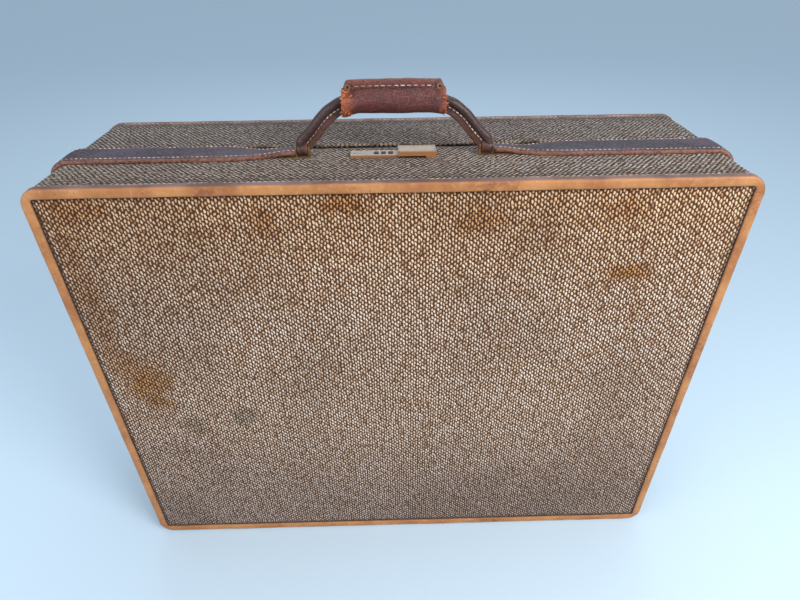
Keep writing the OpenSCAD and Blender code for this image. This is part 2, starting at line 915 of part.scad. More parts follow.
// Catch on the lid: a plate that reaches through the seam into the lock case.
module catch_plate() {
    top = case_h - lining_in - lining_t - glue;
    color(steel_colour) difference() {
        union() {
            box([catch_x[0], catch_y[0], catch_z], [catch_x[1], catch_y[1], catch_z + catch_t]);
            box([catch_neck_x[0], catch_y[1] - join, catch_z],
                [catch_neck_x[1], catch_root_y[1], catch_z + catch_t]);
            box([catch_x[0], catch_root_y[0], catch_z], [catch_x[1], catch_root_y[1], top]);
        }
        at_catch_rivets() shank_hole(catch_rivet[2], catch_rivet[3]);
    }
}

module at_catch_rivets() {
    for (x = [catch_x[0] + 2.6, catch_x[1] - 2.6])
        translate([x, (catch_root_y[0] + catch_root_y[1]) / 2, catch_z]) mirror([0, 0, 1]) children();
}

module catch_rivets() {
    color(steel_colour) at_catch_rivets() rivet(catch_rivet);
}

// ---------- Nodes ----------

hinge_side = ["left", "centre", "right"];
body_rails();
body_corner_blocks();
body_panel();
body_tweed_sides();
body_tweed_face();
body_binding();
body_valance();
body_lining();
tie_strap(-1);  // tie_strap_left
tie_strap(1);  // tie_strap_right
tie_strap_anchors();
tie_buckles();
strap(-1);  // strap_left
strap(1);  // strap_right
strap_rivets();
handle_base(-1);  // handle_base_left
handle_base(1);  // handle_base_right
handle_base_screws();
handle_core();
handle_grip();
handle_arm(-1);  // handle_arm_left
handle_arm(1);  // handle_arm_right
handle_eyelets();
lock_plate();
lock_case();
lock_screws();
dial_shaft();
for (i = [0:2])
    dial(i);
latch_slide();
latch_bolt();
latch_spring();
change_lever();
for (i = [0:2]) {
    hinge_leaf(hinge_xs[i], 0, -1);
    hinge_leaf(hinge_xs[i], 1, 1);
    hinge_pin(hinge_xs[i]);
}
hinge_rivets(-1);  // hinge_rivets_body
hinge_rivets(1);  // hinge_rivets_lid
feet(-1);  // feet_body
feet(1);  // feet_lid
lid_rails();
lid_corner_blocks();
lid_panel();
lid_tweed_sides();
lid_tweed_face();
lid_binding();
lid_valance();
lid_lining();
lid_pocket();
lid_pocket_trim();
catch_plate();
catch_rivets();
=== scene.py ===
"""Looks for a hard-sided travel case: tweed covering, leather edges, straps and handle, and a lock."""

import math
import random

import bmesh
import bpy
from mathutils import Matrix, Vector, noise


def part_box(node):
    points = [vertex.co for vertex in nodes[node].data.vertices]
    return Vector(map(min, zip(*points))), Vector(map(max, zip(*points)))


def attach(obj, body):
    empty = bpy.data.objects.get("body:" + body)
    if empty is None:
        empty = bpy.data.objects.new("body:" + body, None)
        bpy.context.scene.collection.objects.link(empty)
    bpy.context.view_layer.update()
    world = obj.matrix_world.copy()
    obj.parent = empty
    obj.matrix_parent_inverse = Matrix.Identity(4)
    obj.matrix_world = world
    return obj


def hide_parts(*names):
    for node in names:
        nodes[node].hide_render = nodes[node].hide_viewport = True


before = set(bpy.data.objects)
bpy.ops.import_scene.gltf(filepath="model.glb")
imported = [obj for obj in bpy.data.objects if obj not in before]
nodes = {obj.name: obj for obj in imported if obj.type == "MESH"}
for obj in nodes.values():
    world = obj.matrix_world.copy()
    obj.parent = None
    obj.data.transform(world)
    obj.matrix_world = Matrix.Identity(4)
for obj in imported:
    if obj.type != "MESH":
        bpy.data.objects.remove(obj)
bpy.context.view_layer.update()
rng = random.Random(7)
MM = 0.001

# ---------- Sizes in metres, from the frame where it holds them ----------

front_lo, front_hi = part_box("body_binding")
HALF_W = front_hi.x
HALF_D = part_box("lid_binding")[1].y
TOP = front_hi.z
BASE = front_lo.z
HALF_H = (TOP - BASE) / 2
MID_Z = (TOP + BASE) / 2
CORNER_R = 18 * MM
BAND = front_hi.y - front_lo.y
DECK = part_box("body_tweed_sides")[1].z
TWEED_IN = TOP - DECK
FACE_IN = HALF_D - abs(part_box("body_tweed_face")[0].y)

# The lock's opening in the body's covering, as x positions and as depths in front of the seam.
GLUE = 0.2 * MM
case_lo, case_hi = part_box("lock_case")
LOCK_XS = (case_lo.x - GLUE, case_hi.x + GLUE)
LOCK_DEPTHS = (GLUE - case_lo.y, -case_hi.y - GLUE)

# The handle's middle lines: the grip's axis height and the right arm's pivot.
grip_lo, grip_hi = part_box("handle_grip")
HANDLE_Y = (grip_lo.y + grip_hi.y) / 2
GRIP_HALF = grip_hi.x
GRIP_Z = 556.1 * MM
PIVOT_X = 89 * MM
PIVOT_Z = 510.6 * MM

# The seats of the three hinges, and how far the covering is sunk there.
hinge_boxes = [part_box(f"hinge_pin_{spot}") for spot in ("left", "centre", "right")]
HINGE_XS = [(lo.x + hi.x) / 2 for lo, hi in hinge_boxes]
HINGE_HALF = (hinge_boxes[0][1].x - hinge_boxes[0][0].x) / 2
NOTCH = 2.7 * MM


# ---------- Shader building ----------

def srgb(r, g, b):
    """A display colour, 0 to 255, as linear RGBA."""
    def linear(c):
        c /= 255
        return c / 12.92 if c <= 0.04045 else ((c + 0.055) / 1.055) ** 2.4
    return (linear(r), linear(g), linear(b), 1.0)


class Shader:
    """A material's node tree. Every input takes a number, a colour or another node's socket.

    The keywords set the surface's own sockets, with _ for each space in a name.
    """

    def __init__(self, name, **surface):
        self.mat = bpy.data.materials.new(name)
        self.mat.use_nodes = True
        self.tree = self.mat.node_tree
        self.bsdf = self.tree.nodes["Principled BSDF"]
        for key, value in surface.items():
            self.surface(key.replace("_", " "), value)

    def set(self, socket, value):
        if isinstance(value, bpy.types.NodeSocket):
            self.tree.links.new(value, socket)
        else:
            socket.default_value = value

    def surface(self, name, value):
        self.set(self.bsdf.inputs[name], value)

    def node(self, kind, inputs=(), **props):
        made = self.tree.nodes.new("ShaderNode" + kind)
        for key, value in props.items():
            setattr(made, key, value)
        for key, value in dict(inputs).items():
            self.set(made.inputs[key], value)
        return made

    def math(self, op, a, b=0.0, c=0.0):
        return self.node("Math", {0: a, 1: b, 2: c}, operation=op).outputs[0]

    def times(self, a, b):
        return self.math("MULTIPLY", a, b)

    def plus(self, a, b):
        return self.math("ADD", a, b)

    def line(self, value, slope, offset):
        """slope times value, plus offset."""
        return self.math("MULTIPLY_ADD", value, slope, offset)

    def jitter(self, base, chance, amount):
        """base moved by up to half of amount either way, as chance goes from 0 to 1."""
        return self.plus(base, self.line(chance, amount, -amount / 2))

    def length(self, a, b):
        """The length of the vector (a, b)."""
        return self.math("SQRT", self.plus(self.times(a, a), self.times(b, b)))

    def axes(self, vector):
        """The outputs X, Y and Z of a vector."""
        return self.node("SeparateXYZ", {0: vector}).outputs

    def fade(self, value, low, high, to_low=0.0, to_high=1.0):
        """value between low and high as a smooth step from to_low to to_high."""
        made = self.node("MapRange", {0: value, 1: low, 2: high, 3: to_low, 4: to_high},
                         interpolation_type="SMOOTHSTEP")
        return made.outputs[0]

    def mix(self, factor, a, b, blend="MIX"):
        made = self.node("Mix", {0: factor, 6: a, 7: b}, data_type="RGBA", blend_type=blend)
        return made.outputs[2]

    def own(self, kind="Object"):
        """The piece's own coordinates, or its own normal."""
        return self.node("TexCoord").outputs[kind]

    def place(self, scale=(1, 1, 1), turn=(0, 0, 0)):
        """The piece's own coordinates, scaled and turned."""
        return self.node("Mapping", {"Vector": self.own(), "Scale": scale, "Rotation": turn}).outputs[0]

    def noise(self, scale, detail=2.0, rough=0.5, at=None):
        """Noise from 0 to 1, over the piece's own coordinates unless others are given."""
        return self.node("TexNoise", {"Vector": at or self.place(), "Scale": scale, "Detail": detail,
                                      "Roughness": rough}).outputs[0]

    def pores(self, scale, wide):
        """Leather grain: 0 in the creases between cells, 1 on the cells."""
        made = self.node("TexVoronoi", {"Vector": self.place(), "Scale": scale}, feature="DISTANCE_TO_EDGE")
        return self.fade(made.outputs[0], 0.0, wide)

    def mask(self, name):
        return self.node("Attribute", attribute_name=name).outputs["Fac"]

    def uv(self):
        return self.node("UVMap", uv_map="cloth").outputs[0]

    def patch(self, colour, other, value, low, high, most=1.0):
        """colour, turning into up to most of other as value goes from low to high."""
        return self.mix(self.fade(value, low, high, 0.0, most), colour, other)

    def finish(self, colour, height=None, distance=0.0, strength=1.0):
        """Sets the colour and the relief, and gives back the material."""
        self.surface("Base Color", colour)
        if height is not None:
            made = self.node("Bump", {"Height": height, "Distance": distance, "Strength": strength})
            self.surface("Normal", made.outputs[0])
        return self.mat


# ---------- Materials ----------

# Stains on the front: x, z, half-width and half-height in metres, and strength.
STAINS = [
    (-0.303, 0.360, 0.016, 0.140, 0.55), (-0.275, 0.275, 0.030, 0.052, 0.85),
    (0.225, 0.406, 0.026, 0.014, 0.95), (0.242, 0.360, 0.010, 0.016, 0.5),
    (-0.285, 0.482, 0.032, 0.014, 0.6), (-0.120, 0.470, 0.012, 0.016, 0.6),
    (-0.045, 0.484, 0.022, 0.012, 0.7), (0.075, 0.466, 0.026, 0.016, 0.6),
    (0.210, 0.474, 0.028, 0.018, 0.5),
]
GREY_MARKS = [(-0.180, 0.222, 0.016, 0.020, 0.5), (-0.240, 0.210, 0.014, 0.014, 0.4)]
COLUMN = 2.9 * MM
ROW = 5.0 * MM


def spots(s, marks):
    """A mask that is 1 in the middle of each oval mark and fades out raggedly."""
    own = s.axes(s.own())
    ragged = s.noise(34.0, 4.0, 0.65)
    total = 0.0
    for x, z, half_w, half_h, strength in marks:
        dx = s.math("DIVIDE", s.math("SUBTRACT", own["X"], x), half_w)
        dz = s.math("DIVIDE", s.math("SUBTRACT", own["Z"], z), half_h)
        far = s.jitter(s.length(dx, dz), ragged, 2.4)
        total = s.math("MAXIMUM", total, s.fade(far, 1.25, 0.3, 0.0, strength))
    return total


def tweed(name, shade, fill=1.0, gap=1.0, stains_and_shade=False):
    """Nubby tweed: oval pale nubs in staggered columns over dark yarn, as colour and relief.

    fill sizes the nubs, gap lightens the yarn between them, and a last tint over the whole is painted light.
    On the top and bottom copies, that tint and the darker yarn are painted shade with a painted cool
    reflection.
    """
    s = Shader(name, Roughness=0.95, Sheen_Weight=0.10, Sheen_Roughness=0.6, Specular_IOR_Level=0.15)

    # Which nub this is: its column and row, in threads that sway a little.
    flat = s.axes(s.uv())
    sway = s.node("TexNoise", {"Vector": s.uv(), "Scale": 130.0, "Detail": 3.0}).outputs[1]
    sway = s.node("SeparateColor", {0: sway}).outputs
    across = s.jitter(s.math("DIVIDE", flat["X"], COLUMN), sway[0], 1.1)
    column = s.math("ROUND", across)
    stagger = s.times(s.math("PINGPONG", column, 1.0), 0.5)
    along = s.jitter(s.plus(s.math("DIVIDE", flat["Y"], ROW), stagger), sway[1], 0.6)
    row = s.math("ROUND", along)
    cell = s.node("CombineXYZ", {0: column, 1: row}).outputs[0]
    own = s.node("TexWhiteNoise", {"Vector": cell}, noise_dimensions="2D").outputs["Color"]
    pick = s.node("SeparateColor", {0: own}).outputs

    # How far this point is from the nub's middle: 1 at its edge.
    u = s.jitter(s.math("SUBTRACT", across, column), pick[1], 0.30)
    v = s.jitter(s.math("SUBTRACT", along, row), pick[2], 0.20)
    lean = s.times(v, s.line(pick[0], 0.5, -0.15))
    across_nub = s.math("DIVIDE", s.plus(u, lean), s.line(pick[2], 0.08, 0.33 * fill))
    along_nub = s.math("DIVIDE", v, s.line(pick[0], 0.10, 0.34 * fill))
    fibre = s.noise(2600.0, at=s.uv())
    far = s.jitter(s.length(across_nub, along_nub), fibre, 0.5)

    ground = s.patch(srgb(24 * gap, 12 * gap, 6 * gap), srgb(104 * gap, 68 * gap, 40 * gap), fibre, 0.3, 0.7)
    pale = s.mix(pick[0], srgb(220, 184, 150), srgb(244, 226, 208))
    pale = s.patch(pale, srgb(176, 138, 106), pick[1], 0.90, 0.98)
    pale = s.mix(s.line(fibre, 0.7, -0.26), pale, srgb(190, 140, 100))
    cloth = s.patch(ground, pale, far, 1.12, 0.62)

    # Tints multiplied over the cloth: random age mottling, then height tints, stains, painted shade and a
    # last tint.
    tints = [(s.fade(s.noise(7.0, 3.0), 0.40, 0.70, 0.0, 0.30), srgb(150, 124, 98))]
    if stains_and_shade:
        high = s.axes(s.own())["Z"]
        # Warmer towards the top. The darker, cooler bottom is painted shade where the light falls off. Then
        # come the real stains and grey marks.
        tints += [(s.fade(high, 0.34, 0.50), srgb(252, 236, 210)),
                  (s.fade(high, 0.26, 0.02), srgb(218, 218, 226)),
                  (spots(s, STAINS), srgb(214, 172, 94)),
                  (spots(s, GREY_MARKS), srgb(150, 150, 132))]
    # Painted shade along the edge mask, where the cloth dips under the binding, rolls into the seam and lines
    # the lock's opening. Last comes the tint over the whole, which is painted light.
    tints += [(s.times(s.mask("edge"), 0.85), srgb(84, 60, 44)), (1.0, shade)]
    for amount, tint in tints:
        cloth = s.mix(amount, cloth, tint, "MULTIPLY")
    return s.finish(cloth, s.fade(far, 1.12, 0.25), 0.9 * MM, 0.9)


def leather(name, tone, deep, raw, wear, rough, grain=900.0, smear=38.0, coat=0.25):
    """Leather: mottled dye, fine grain, scuffs, and raw fibre where the edge mask is 1."""
    s = Shader(name, Specular_IOR_Level=0.5, Coat_Weight=coat, Coat_Roughness=0.30)
    cloud = s.noise(smear, 5.0, 0.62, at=s.place((0.6, 1.0, 1.0)))
    speck = s.noise(420.0, 3.0, 0.7)
    colour = s.patch(tone, deep, cloud, 0.40, 0.60)
    colour = s.patch(colour, wear, s.noise(700.0), 0.50, 0.66, 0.45)
    worn = s.times(s.fade(speck, 0.54, 0.68), s.fade(cloud, 0.44, 0.60))
    colour = s.mix(s.times(worn, 0.75), colour, wear)
    colour = s.mix(s.times(s.mask("worn"), s.fade(speck, 0.30, 0.52)), colour, wear)
    colour = s.mix(s.mask("edge"), colour, s.patch(raw, deep, speck, 0.42, 0.66, 0.8))
    s.surface("Roughness", s.line(speck, 0.30, rough - 0.10))
    crack = s.fade(s.noise(150.0, 5.0, 0.7), 0.40, 0.60)
    height = s.plus(s.plus(s.pores(grain, 0.22), s.times(speck, 0.8)), crack)
    return s.finish(colour, height, 0.35 * MM, 0.7)


def band_leather():
    """Tan binding: a pale rolled face with scuffs and pen-like marks, a return strip in painted shade with a
    painted sky reflection, and painted shade in the gutter.
    """
    s = Shader("tan_binding", Specular_IOR_Level=0.45)
    cloud = s.noise(22.0, 4.0, 0.6)
    streak = s.noise(260.0, 4.0, 0.6)
    nick = s.noise(150.0, 6.0, 0.75, at=s.place((0.6, 1.0, 1.0)))
    colour = s.patch(srgb(186, 127, 73), srgb(154, 95, 48), cloud, 0.32, 0.68)
    colour = s.patch(colour, srgb(222, 170, 124), streak, 0.50, 0.70, 0.22)
    colour = s.patch(colour, srgb(104, 58, 34), nick, 0.62, 0.67, 0.8)
    blotch = s.times(s.fade(s.noise(11.0), 0.56, 0.66), s.fade(nick, 0.45, 0.62))
    colour = s.mix(s.times(blotch, 0.75), colour, srgb(122, 68, 40))
    # The return strip's grey is the tan leather in painted shade, with a painted reflection of the sky.
    dark = s.patch(srgb(128, 102, 96), srgb(96, 72, 68), cloud, 0.4, 0.62)
    dark = s.patch(dark, srgb(150, 124, 108), nick, 0.55, 0.66, 0.6)
    colour = s.mix(s.mask("edge"), colour, dark)
    # Painted shade in the gutter between the binding and the tweed.
    colour = s.mix(s.mask("gutter"), colour, srgb(58, 34, 24))
    s.surface("Roughness", s.line(streak, 0.35, 0.30))
    return s.finish(colour, s.plus(s.times(s.pores(1400.0, 0.2), 0.5), nick), 0.25 * MM, 0.5)


def metal(name, tone, dull, rough, tarnish=0.35, front_reflection=None, slide_shadow_x=None):
    """Aged metal: a satin face with cloudy tarnish and fine rubbing marks.

    Given a front colour, faces turned to the front take it as a painted warm reflection of the lit binding.
    Given an x limit as well, a painted shadow under the latch slide darkens that colour past it.
    """
    s = Shader(name, Metallic=0.7)
    rubs = s.noise(300.0, at=s.place((1.0, 9.0, 9.0)))
    colour = s.patch(tone, dull, s.noise(120.0, 4.0, 0.6), 0.40, 0.72, tarnish)
    if front_reflection:
        if slide_shadow_x is not None:
            # Painted shadow under the latch slide, past the slide's left end.
            front_reflection = s.patch(front_reflection, srgb(52, 36, 26), s.axes(s.own())["X"], slide_shadow_x, slide_shadow_x + 2 * MM)
        # Painted warm reflection on faces turned to the front.
        colour = s.patch(colour, front_reflection, s.axes(s.own("Normal"))["Y"], -0.55, -0.85)
    s.surface("Roughness", s.line(rubs, 0.22, rough))
    return s.finish(colour, rubs, 0.05 * MM, 0.35)


def thread(name, tone, deep):
    """Waxed linen thread, twisted and grubby."""
    s = Shader(name, Roughness=0.8)
    twist = s.node("TexWave", {"Vector": s.place(turn=(0.5, 0.6, 0.4)), "Scale": 600.0}).outputs["Fac"]
    return s.finish(s.patch(tone, deep, s.noise(90.0, 3.0), 0.40, 0.62), twist, 0.1 * MM, 0.5)


def woven(name, light, dark, pitch):
    """Plain-woven cloth for the lining and the packing straps, on walls that face any way."""
    s = Shader(name, Roughness=0.85, Sheen_Weight=0.2)
    own = s.axes(s.own())
    warp = s.math("SINE", s.times(s.plus(own["X"], own["Y"]), math.pi / pitch))
    weft = s.math("SINE", s.times(s.plus(own["Z"], own["Y"]), math.pi / pitch))
    check = s.times(warp, weft)
    slub = s.noise(160.0, 4.0, at=s.place((1.0, 1.0, 0.15)))
    colour = s.patch(s.patch(dark, light, check, -0.8, 0.8), dark, slub, 0.35, 0.7, 0.5)
    return s.finish(colour, check, 0.3 * pitch, 0.6)


def wood(name, pale, deep):
    """Straight-grained wood along X."""
    s = Shader(name, Roughness=0.6)
    rings = s.noise(18.0, 5.0, 0.6, at=s.place((1.0, 14.0, 14.0)))
    pores = s.noise(900.0, at=s.place((0.06, 1.0, 1.0)))
    colour = s.patch(s.patch(pale, deep, rings, 0.35, 0.65), deep, pores, 0.6, 0.75, 0.5)
    return s.finish(colour, pores, 0.15 * MM, 0.4)


def enamel(name, tone):
    """Baked enamel with a little rubbing."""
    s = Shader(name)
    rub = s.noise(500.0, 3.0)
    s.surface("Roughness", s.line(rub, 0.3, 0.25))
    return s.finish(s.patch(tone, srgb(70, 66, 60), rub, 0.5, 0.7, 0.4))


# The last colour is a painted warm reflection for faces turned to the front.
BRASS = {"tone": srgb(184, 172, 158), "dull": srgb(156, 134, 110), "rough": 0.36, "front_reflection": srgb(190, 134, 88)}
MATS = {
    "tweed_body": tweed("tweed_front", (1, 1, 1, 1), stains_and_shade=True),
    "tweed_lid": tweed("tweed_back", (1, 1, 1, 1)),
    # The top and bottom copies have a cool tint and darker yarn. These are painted shade and a painted
    # reflection of the pale blue surroundings.
    "tweed_body_side": tweed("tweed_body_sides", srgb(242, 246, 254), 0.86, 0.35),
    "tweed_lid_side": tweed("tweed_lid_sides", srgb(230, 236, 250), 0.78, 0.28),
    "band": band_leather(),
    # The strap is dark brown leather with a painted reflection of the blue surroundings mixed in, which gives
    # its purple-grey.
    "strap": leather("strap_leather", srgb(74, 62, 78), srgb(36, 31, 44), srgb(146, 98, 76),
                     srgb(126, 106, 110), 0.52, 900.0, 20.0, 0.05),
    "arm": leather("arm_leather", srgb(56, 36, 40), srgb(30, 18, 20), srgb(120, 66, 46),
                   srgb(100, 58, 48), 0.36, 800.0),
    "grip": leather("grip_leather", srgb(82, 34, 33), srgb(40, 18, 24), srgb(176, 92, 48),
                    srgb(160, 84, 60), 0.42, 650.0),
    "torn": leather("torn_leather", srgb(196, 112, 62), srgb(140, 70, 40), srgb(206, 124, 72),
                    srgb(214, 130, 78), 0.75),
    "brass": metal("aged_brass", **BRASS),
    # The plate also gets the painted shadow under the latch slide.
    "plate": metal("lock_plate_brass", slide_shadow_x=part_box("latch_slide")[0].x, **BRASS),
    "bronze": metal("dark_bronze", srgb(146, 120, 86), srgb(70, 56, 44), 0.38, 0.8),
    "steel": metal("zinc_steel", srgb(168, 168, 166), srgb(112, 110, 106), 0.30),
    "edge_metal": metal("valance_metal", srgb(196, 192, 184), srgb(150, 144, 134), 0.24),
    # The lip's nubs are the tweed's pale yarn, darkened to brown-grey by painted shade.
    "nub": thread("tweed_nub", srgb(150, 128, 106), srgb(66, 52, 44)),
    "thread": thread("linen_thread", srgb(226, 196, 168), srgb(158, 124, 100)),
    "dark_thread": thread("dark_thread", srgb(206, 184, 160), srgb(140, 118, 100)),
    "lining": woven("lining_cloth", srgb(206, 180, 140), srgb(168, 140, 100), 0.8 * MM),
    "webbing": woven("webbing", srgb(150, 112, 70), srgb(96, 66, 38), 1.6 * MM),
    "rail_wood": wood("basswood", srgb(214, 184, 138), srgb(180, 146, 100)),
    "ply": wood("plywood", srgb(196, 160, 112), srgb(158, 120, 78)),
    "enamel": enamel("black_enamel", srgb(22, 22, 24)),
}


# ---------- Mesh building ----------

def add_object(name, data):
    """A new object in the scene."""
    obj = bpy.data.objects.new(name, data)
    bpy.context.scene.collection.objects.link(obj)
    return obj


def face_outward(mesh):
    """Turns every face of a closed mesh outward. An open sheet is left as it is."""
    shell = bmesh.new()
    shell.from_mesh(mesh)
    if all(edge.is_manifold for edge in shell.edges):
        bmesh.ops.recalc_face_normals(shell, faces=shell.faces)
        shell.to_mesh(mesh)
    shell.free()


def piece(name, verts, faces, body, material, replaces=(), uvs=None, masks=None, smooth=True):
    """A mesh object that rides on a CAD body. uvs holds a list of pairs for each face."""
    mesh = bpy.data.meshes.new(name)
    mesh.from_pydata([tuple(v) for v in verts], [], faces)
    if uvs is not None:
        layer = mesh.uv_layers.new(name="cloth")
        layer.data.foreach_set("uv", [c for face in uvs for pair in face for c in pair])
    for mask, values in (masks or {}).items():
        mesh.attributes.new(mask, "FLOAT", "POINT").data.foreach_set("value", [float(v) for v in values])
    mesh.validate()
    face_outward(mesh)
    if smooth:
        mesh.shade_smooth()
    mesh.materials.append(MATS[material])
    obj = add_object(name, mesh)
    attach(obj, body)
    if replaces:
        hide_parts(*replaces)
    return obj


def net(rows, cols, point, uv=None, mask=None, wrap_rows=False, wrap_cols=False, flip=False):
    """A quad net over rows and columns. Returns vertices, faces, face uvs and mask values."""
    verts = [Vector(point(i, j)) for i in range(rows) for j in range(cols)]
    values = [mask(i, j) for i in range(rows) for j in range(cols)] if mask else []
    faces, uvs = [], []
    for i in range(rows if wrap_rows else rows - 1):
        for j in range(cols if wrap_cols else cols - 1):
            corners = [(i, j), (i, j + 1), (i + 1, j + 1), (i + 1, j)][::-1 if flip else 1]
            faces.append([(a % rows) * cols + b % cols for a, b in corners])
            if uv:
                uvs.append([uv(a, b) for a, b in corners])
    return verts, faces, uvs, values


def tube(rows, cols, point, mask=None, flip=False):
    """A net closed round its columns and at both ends. Returns vertices, faces and mask values."""
    verts, faces, _, values = net(rows, cols, point, mask=mask, wrap_cols=True)
    faces.append(list(range(cols)))
    faces.append([(rows - 1) * cols + k for k in reversed(range(cols))])
    return verts, [f[::-1] for f in faces] if flip else faces, values


def thicken(obj, thick, side):
    """Gives an open sheet a thickness, inward for -1 and outward for 1."""
    shell = obj.modifiers.new("thickness", "SOLIDIFY")
    shell.thickness = thick
    shell.offset = side


def bevel(obj, width):
    """Rounds the edges of a piece."""
    rounding = obj.modifiers.new("bevel", "BEVEL")
    rounding.width = width
    rounding.segments = 2
    return rounding


def smoothstep(x, low, high):
    """0 below low, 1 above high and a smooth rise between them."""
    t = min(1.0, max(0.0, (x - low) / (high - low)))
    return t * t * (3 - 2 * t)


def wobble(point, size, amount):
    """Smooth irregularity of a hand-made surface."""
    return noise.noise(Vector(point) / size) * amount


# A stitch's rings: position along it, thickness, and height off the surface.
STITCH_RINGS = [(-0.5, 0.25, -0.3), (-0.36, 0.9, 0.35), (0.0, 1.0, 0.6), (0.36, 0.9, 0.35), (0.5, 0.25, -0.3)]


def stitches(name, marks, body, material, length, thick):
    """One mesh of many stitches, one at each (point, direction, outward normal)."""
    verts, faces = [], []
    sides = 6
    last = (len(STITCH_RINGS) - 1) * sides
    for spot, heading, up in marks:
        side = heading.cross(up).normalized()
        start = len(verts)
        for along, fat, lift in STITCH_RINGS:
            centre = spot + heading * (along * length) + up * (lift * thick)
            for k in range(sides):
                a = 2 * math.pi * k / sides
                verts.append(centre + (side * math.cos(a) + up * math.sin(a) * 0.7) * (thick * fat))
        for low in range(start, start + last, sides):
            for k in range(sides):
                a, b = low + k, low + (k + 1) % sides
                faces.append((a, b, b + sides, a + sides))
        faces.append([start + k for k in reversed(range(sides))])
        faces.append([start + last + k for k in range(sides)])
    return piece(name, verts, faces, body, material)


def along_path(path, normals, pitch, slant=0.0):
    """Evenly spaced (point, direction, normal) marks along a polyline, turned by slant."""
    marks, carry = [], pitch / 2
    for k in range(len(path) - 1):
        step = path[k + 1] - path[k]
        length = step.length
        if length == 0:
            continue
        while carry <= length:
            t = carry / length
            up = normals[k].lerp(normals[k + 1], t).normalized()
            heading = (step / length - up * up.dot(step / length)).normalized()
            if slant:
                heading = (heading + up.cross(heading) * slant).normalized()
            marks.append((path[k] + step * t, heading, up))
            carry += pitch
        carry -= length
    return marks


def sew(name, lines, body, pitch, length, thick, material="thread"):
    """Stitches along lines, each given as its points and their outward normals."""
    marks = [mark for path, normals in lines for mark in along_path(path, normals, pitch)]
    stitches(name, marks, body, material, length, thick)


def soften(name, material, width=0.0):
    """Gives a CAD node a material and, where width is given, rounds its sharp edges."""
    obj = nodes[name]
    obj.data.materials.clear()
    obj.data.materials.append(MATS[material])
    if width:
        obj.modifiers.new("weld", "WELD").merge_threshold = 0.002 * MM
        rounding = bevel(obj, width)
        rounding.limit_method = "ANGLE"
        rounding.angle_limit = math.radians(40)
        rounding.harden_normals = True


# ---------- The case's outline ----------

STEP = 6 * MM
ARC_STEPS = 10


def cuts(low, high, extra=()):
    """Even positions from low to high, with extra ones where something must start or stop."""
    count = max(1, round((high - low) / STEP))
    even = [low + (high - low) * k / count for k in range(count)]
    return sorted({round(x, 6) for x in [*even, *extra]})


def stations():
    """Stops round the outline: (side, position along it), or ("corner", its number, angle)."""
    run_x = HALF_W - CORNER_R
    run_z = HALF_H - CORNER_R
    notches = [x + s * (HINGE_HALF + e) for x in HINGE_XS for s in (-1, 1) for e in (0.3 * MM, 0.5 * MM)]
    sides = [("bottom", 1, run_x, notches), ("right", 1, run_z, ()),
             ("top", -1, run_x, [-x for x in LOCK_XS]), ("left", -1, run_z, ())]
    stops = []
    for corner, (side, way, run, extra) in enumerate(sides):
        stops += [(side, way * x) for x in cuts(-run, run, extra)]
        stops += [("corner", corner, 90 * (corner - 1) + 90 * k / ARC_STEPS) for k in range(ARC_STEPS)]
    return stops


STOPS = stations()


def on_outline(stop, inset, tighten=1.0):
    """(x, z) of a stop on the outline drawn inset. tighten over 1 makes inner corners sharper."""
    radius = max(1.5 * MM, CORNER_R - tighten * inset)
    cx = HALF_W - inset - radius
    cz = HALF_H - inset - radius
    kind = stop[0]
    if kind == "corner":
        sx, sz = [(1, -1), (1, 1), (-1, 1), (-1, -1)][stop[1]]
        angle = math.radians(stop[2])
        return sx * cx + radius * math.cos(angle), MID_Z + sz * cz + radius * math.sin(angle)
    if kind in ("bottom", "top"):
        stretch = cx / (HALF_W - CORNER_R)
        sign = -1 if kind == "bottom" else 1
        return stop[1] * stretch, MID_Z + sign * (cz + radius)
    stretch = cz / (HALF_H - CORNER_R)
    sign = -1 if kind == "left" else 1
    return sign * (cx + radius), MID_Z + stop[1] * stretch


def lengths_round(points):
    """Distance along a closed line to each of its points, and the whole way round."""
    lengths = [0.0]
    for a, b in zip(points, points[1:] + points[:1]):
        lengths.append(lengths[-1] + math.dist(a, b))
    return lengths


LENGTHS = lengths_round([on_outline(stop, 0.0) for stop in STOPS])


def ring(depth, inset):
    """The case's closed outline as points at one depth."""
    return [Vector((x, depth, z)) for x, z in (on_outline(stop, inset) for stop in STOPS + STOPS[:1])]


def within(x, low, high):
    """Whether x is from low to high, with room for rounding."""
    return low - 1e-6 <= x <= high + 1e-6


def open_lock_hole(profile, faces, uvs, uv):
    """Cuts the lock's opening through a swept cover, whose profile has points at its two depths."""
    inner = [len(profile) - 3, len(profile) - 2]
    outer = [i for i in range(inner[0]) if within(profile[i][0], *LOCK_DEPTHS[::-1])]
    span = [j for j, stop in enumerate(STOPS) if stop[0] == "top" and within(stop[1], *LOCK_XS)]
    inside = {(i, j) for i in outer[:-1] + inner[:1] for j in span[:-1]}
    keep = [k for k in range(len(faces)) if divmod(k, len(STOPS)) not in inside]
    walls = [[(i, span[0]) for i in outer[::-1]] + [(i, span[0]) for i in inner[::-1]],
             [(i, span[-1]) for i in outer] + [(i, span[-1]) for i in inner]]
    for j in span[:-1]:
        walls.append([(outer[0], j), (outer[0], j + 1), (inner[1], j + 1), (inner[1], j)])
        walls.append([(outer[-1], j + 1), (outer[-1], j), (inner[0], j), (inner[0], j + 1)])
    return ([faces[k] for k in keep] + [[i * len(STOPS) + j for i, j in wall] for wall in walls],
            [uvs[k] for k in keep] + [[uv(i, j) for i, j in wall] for wall in walls])


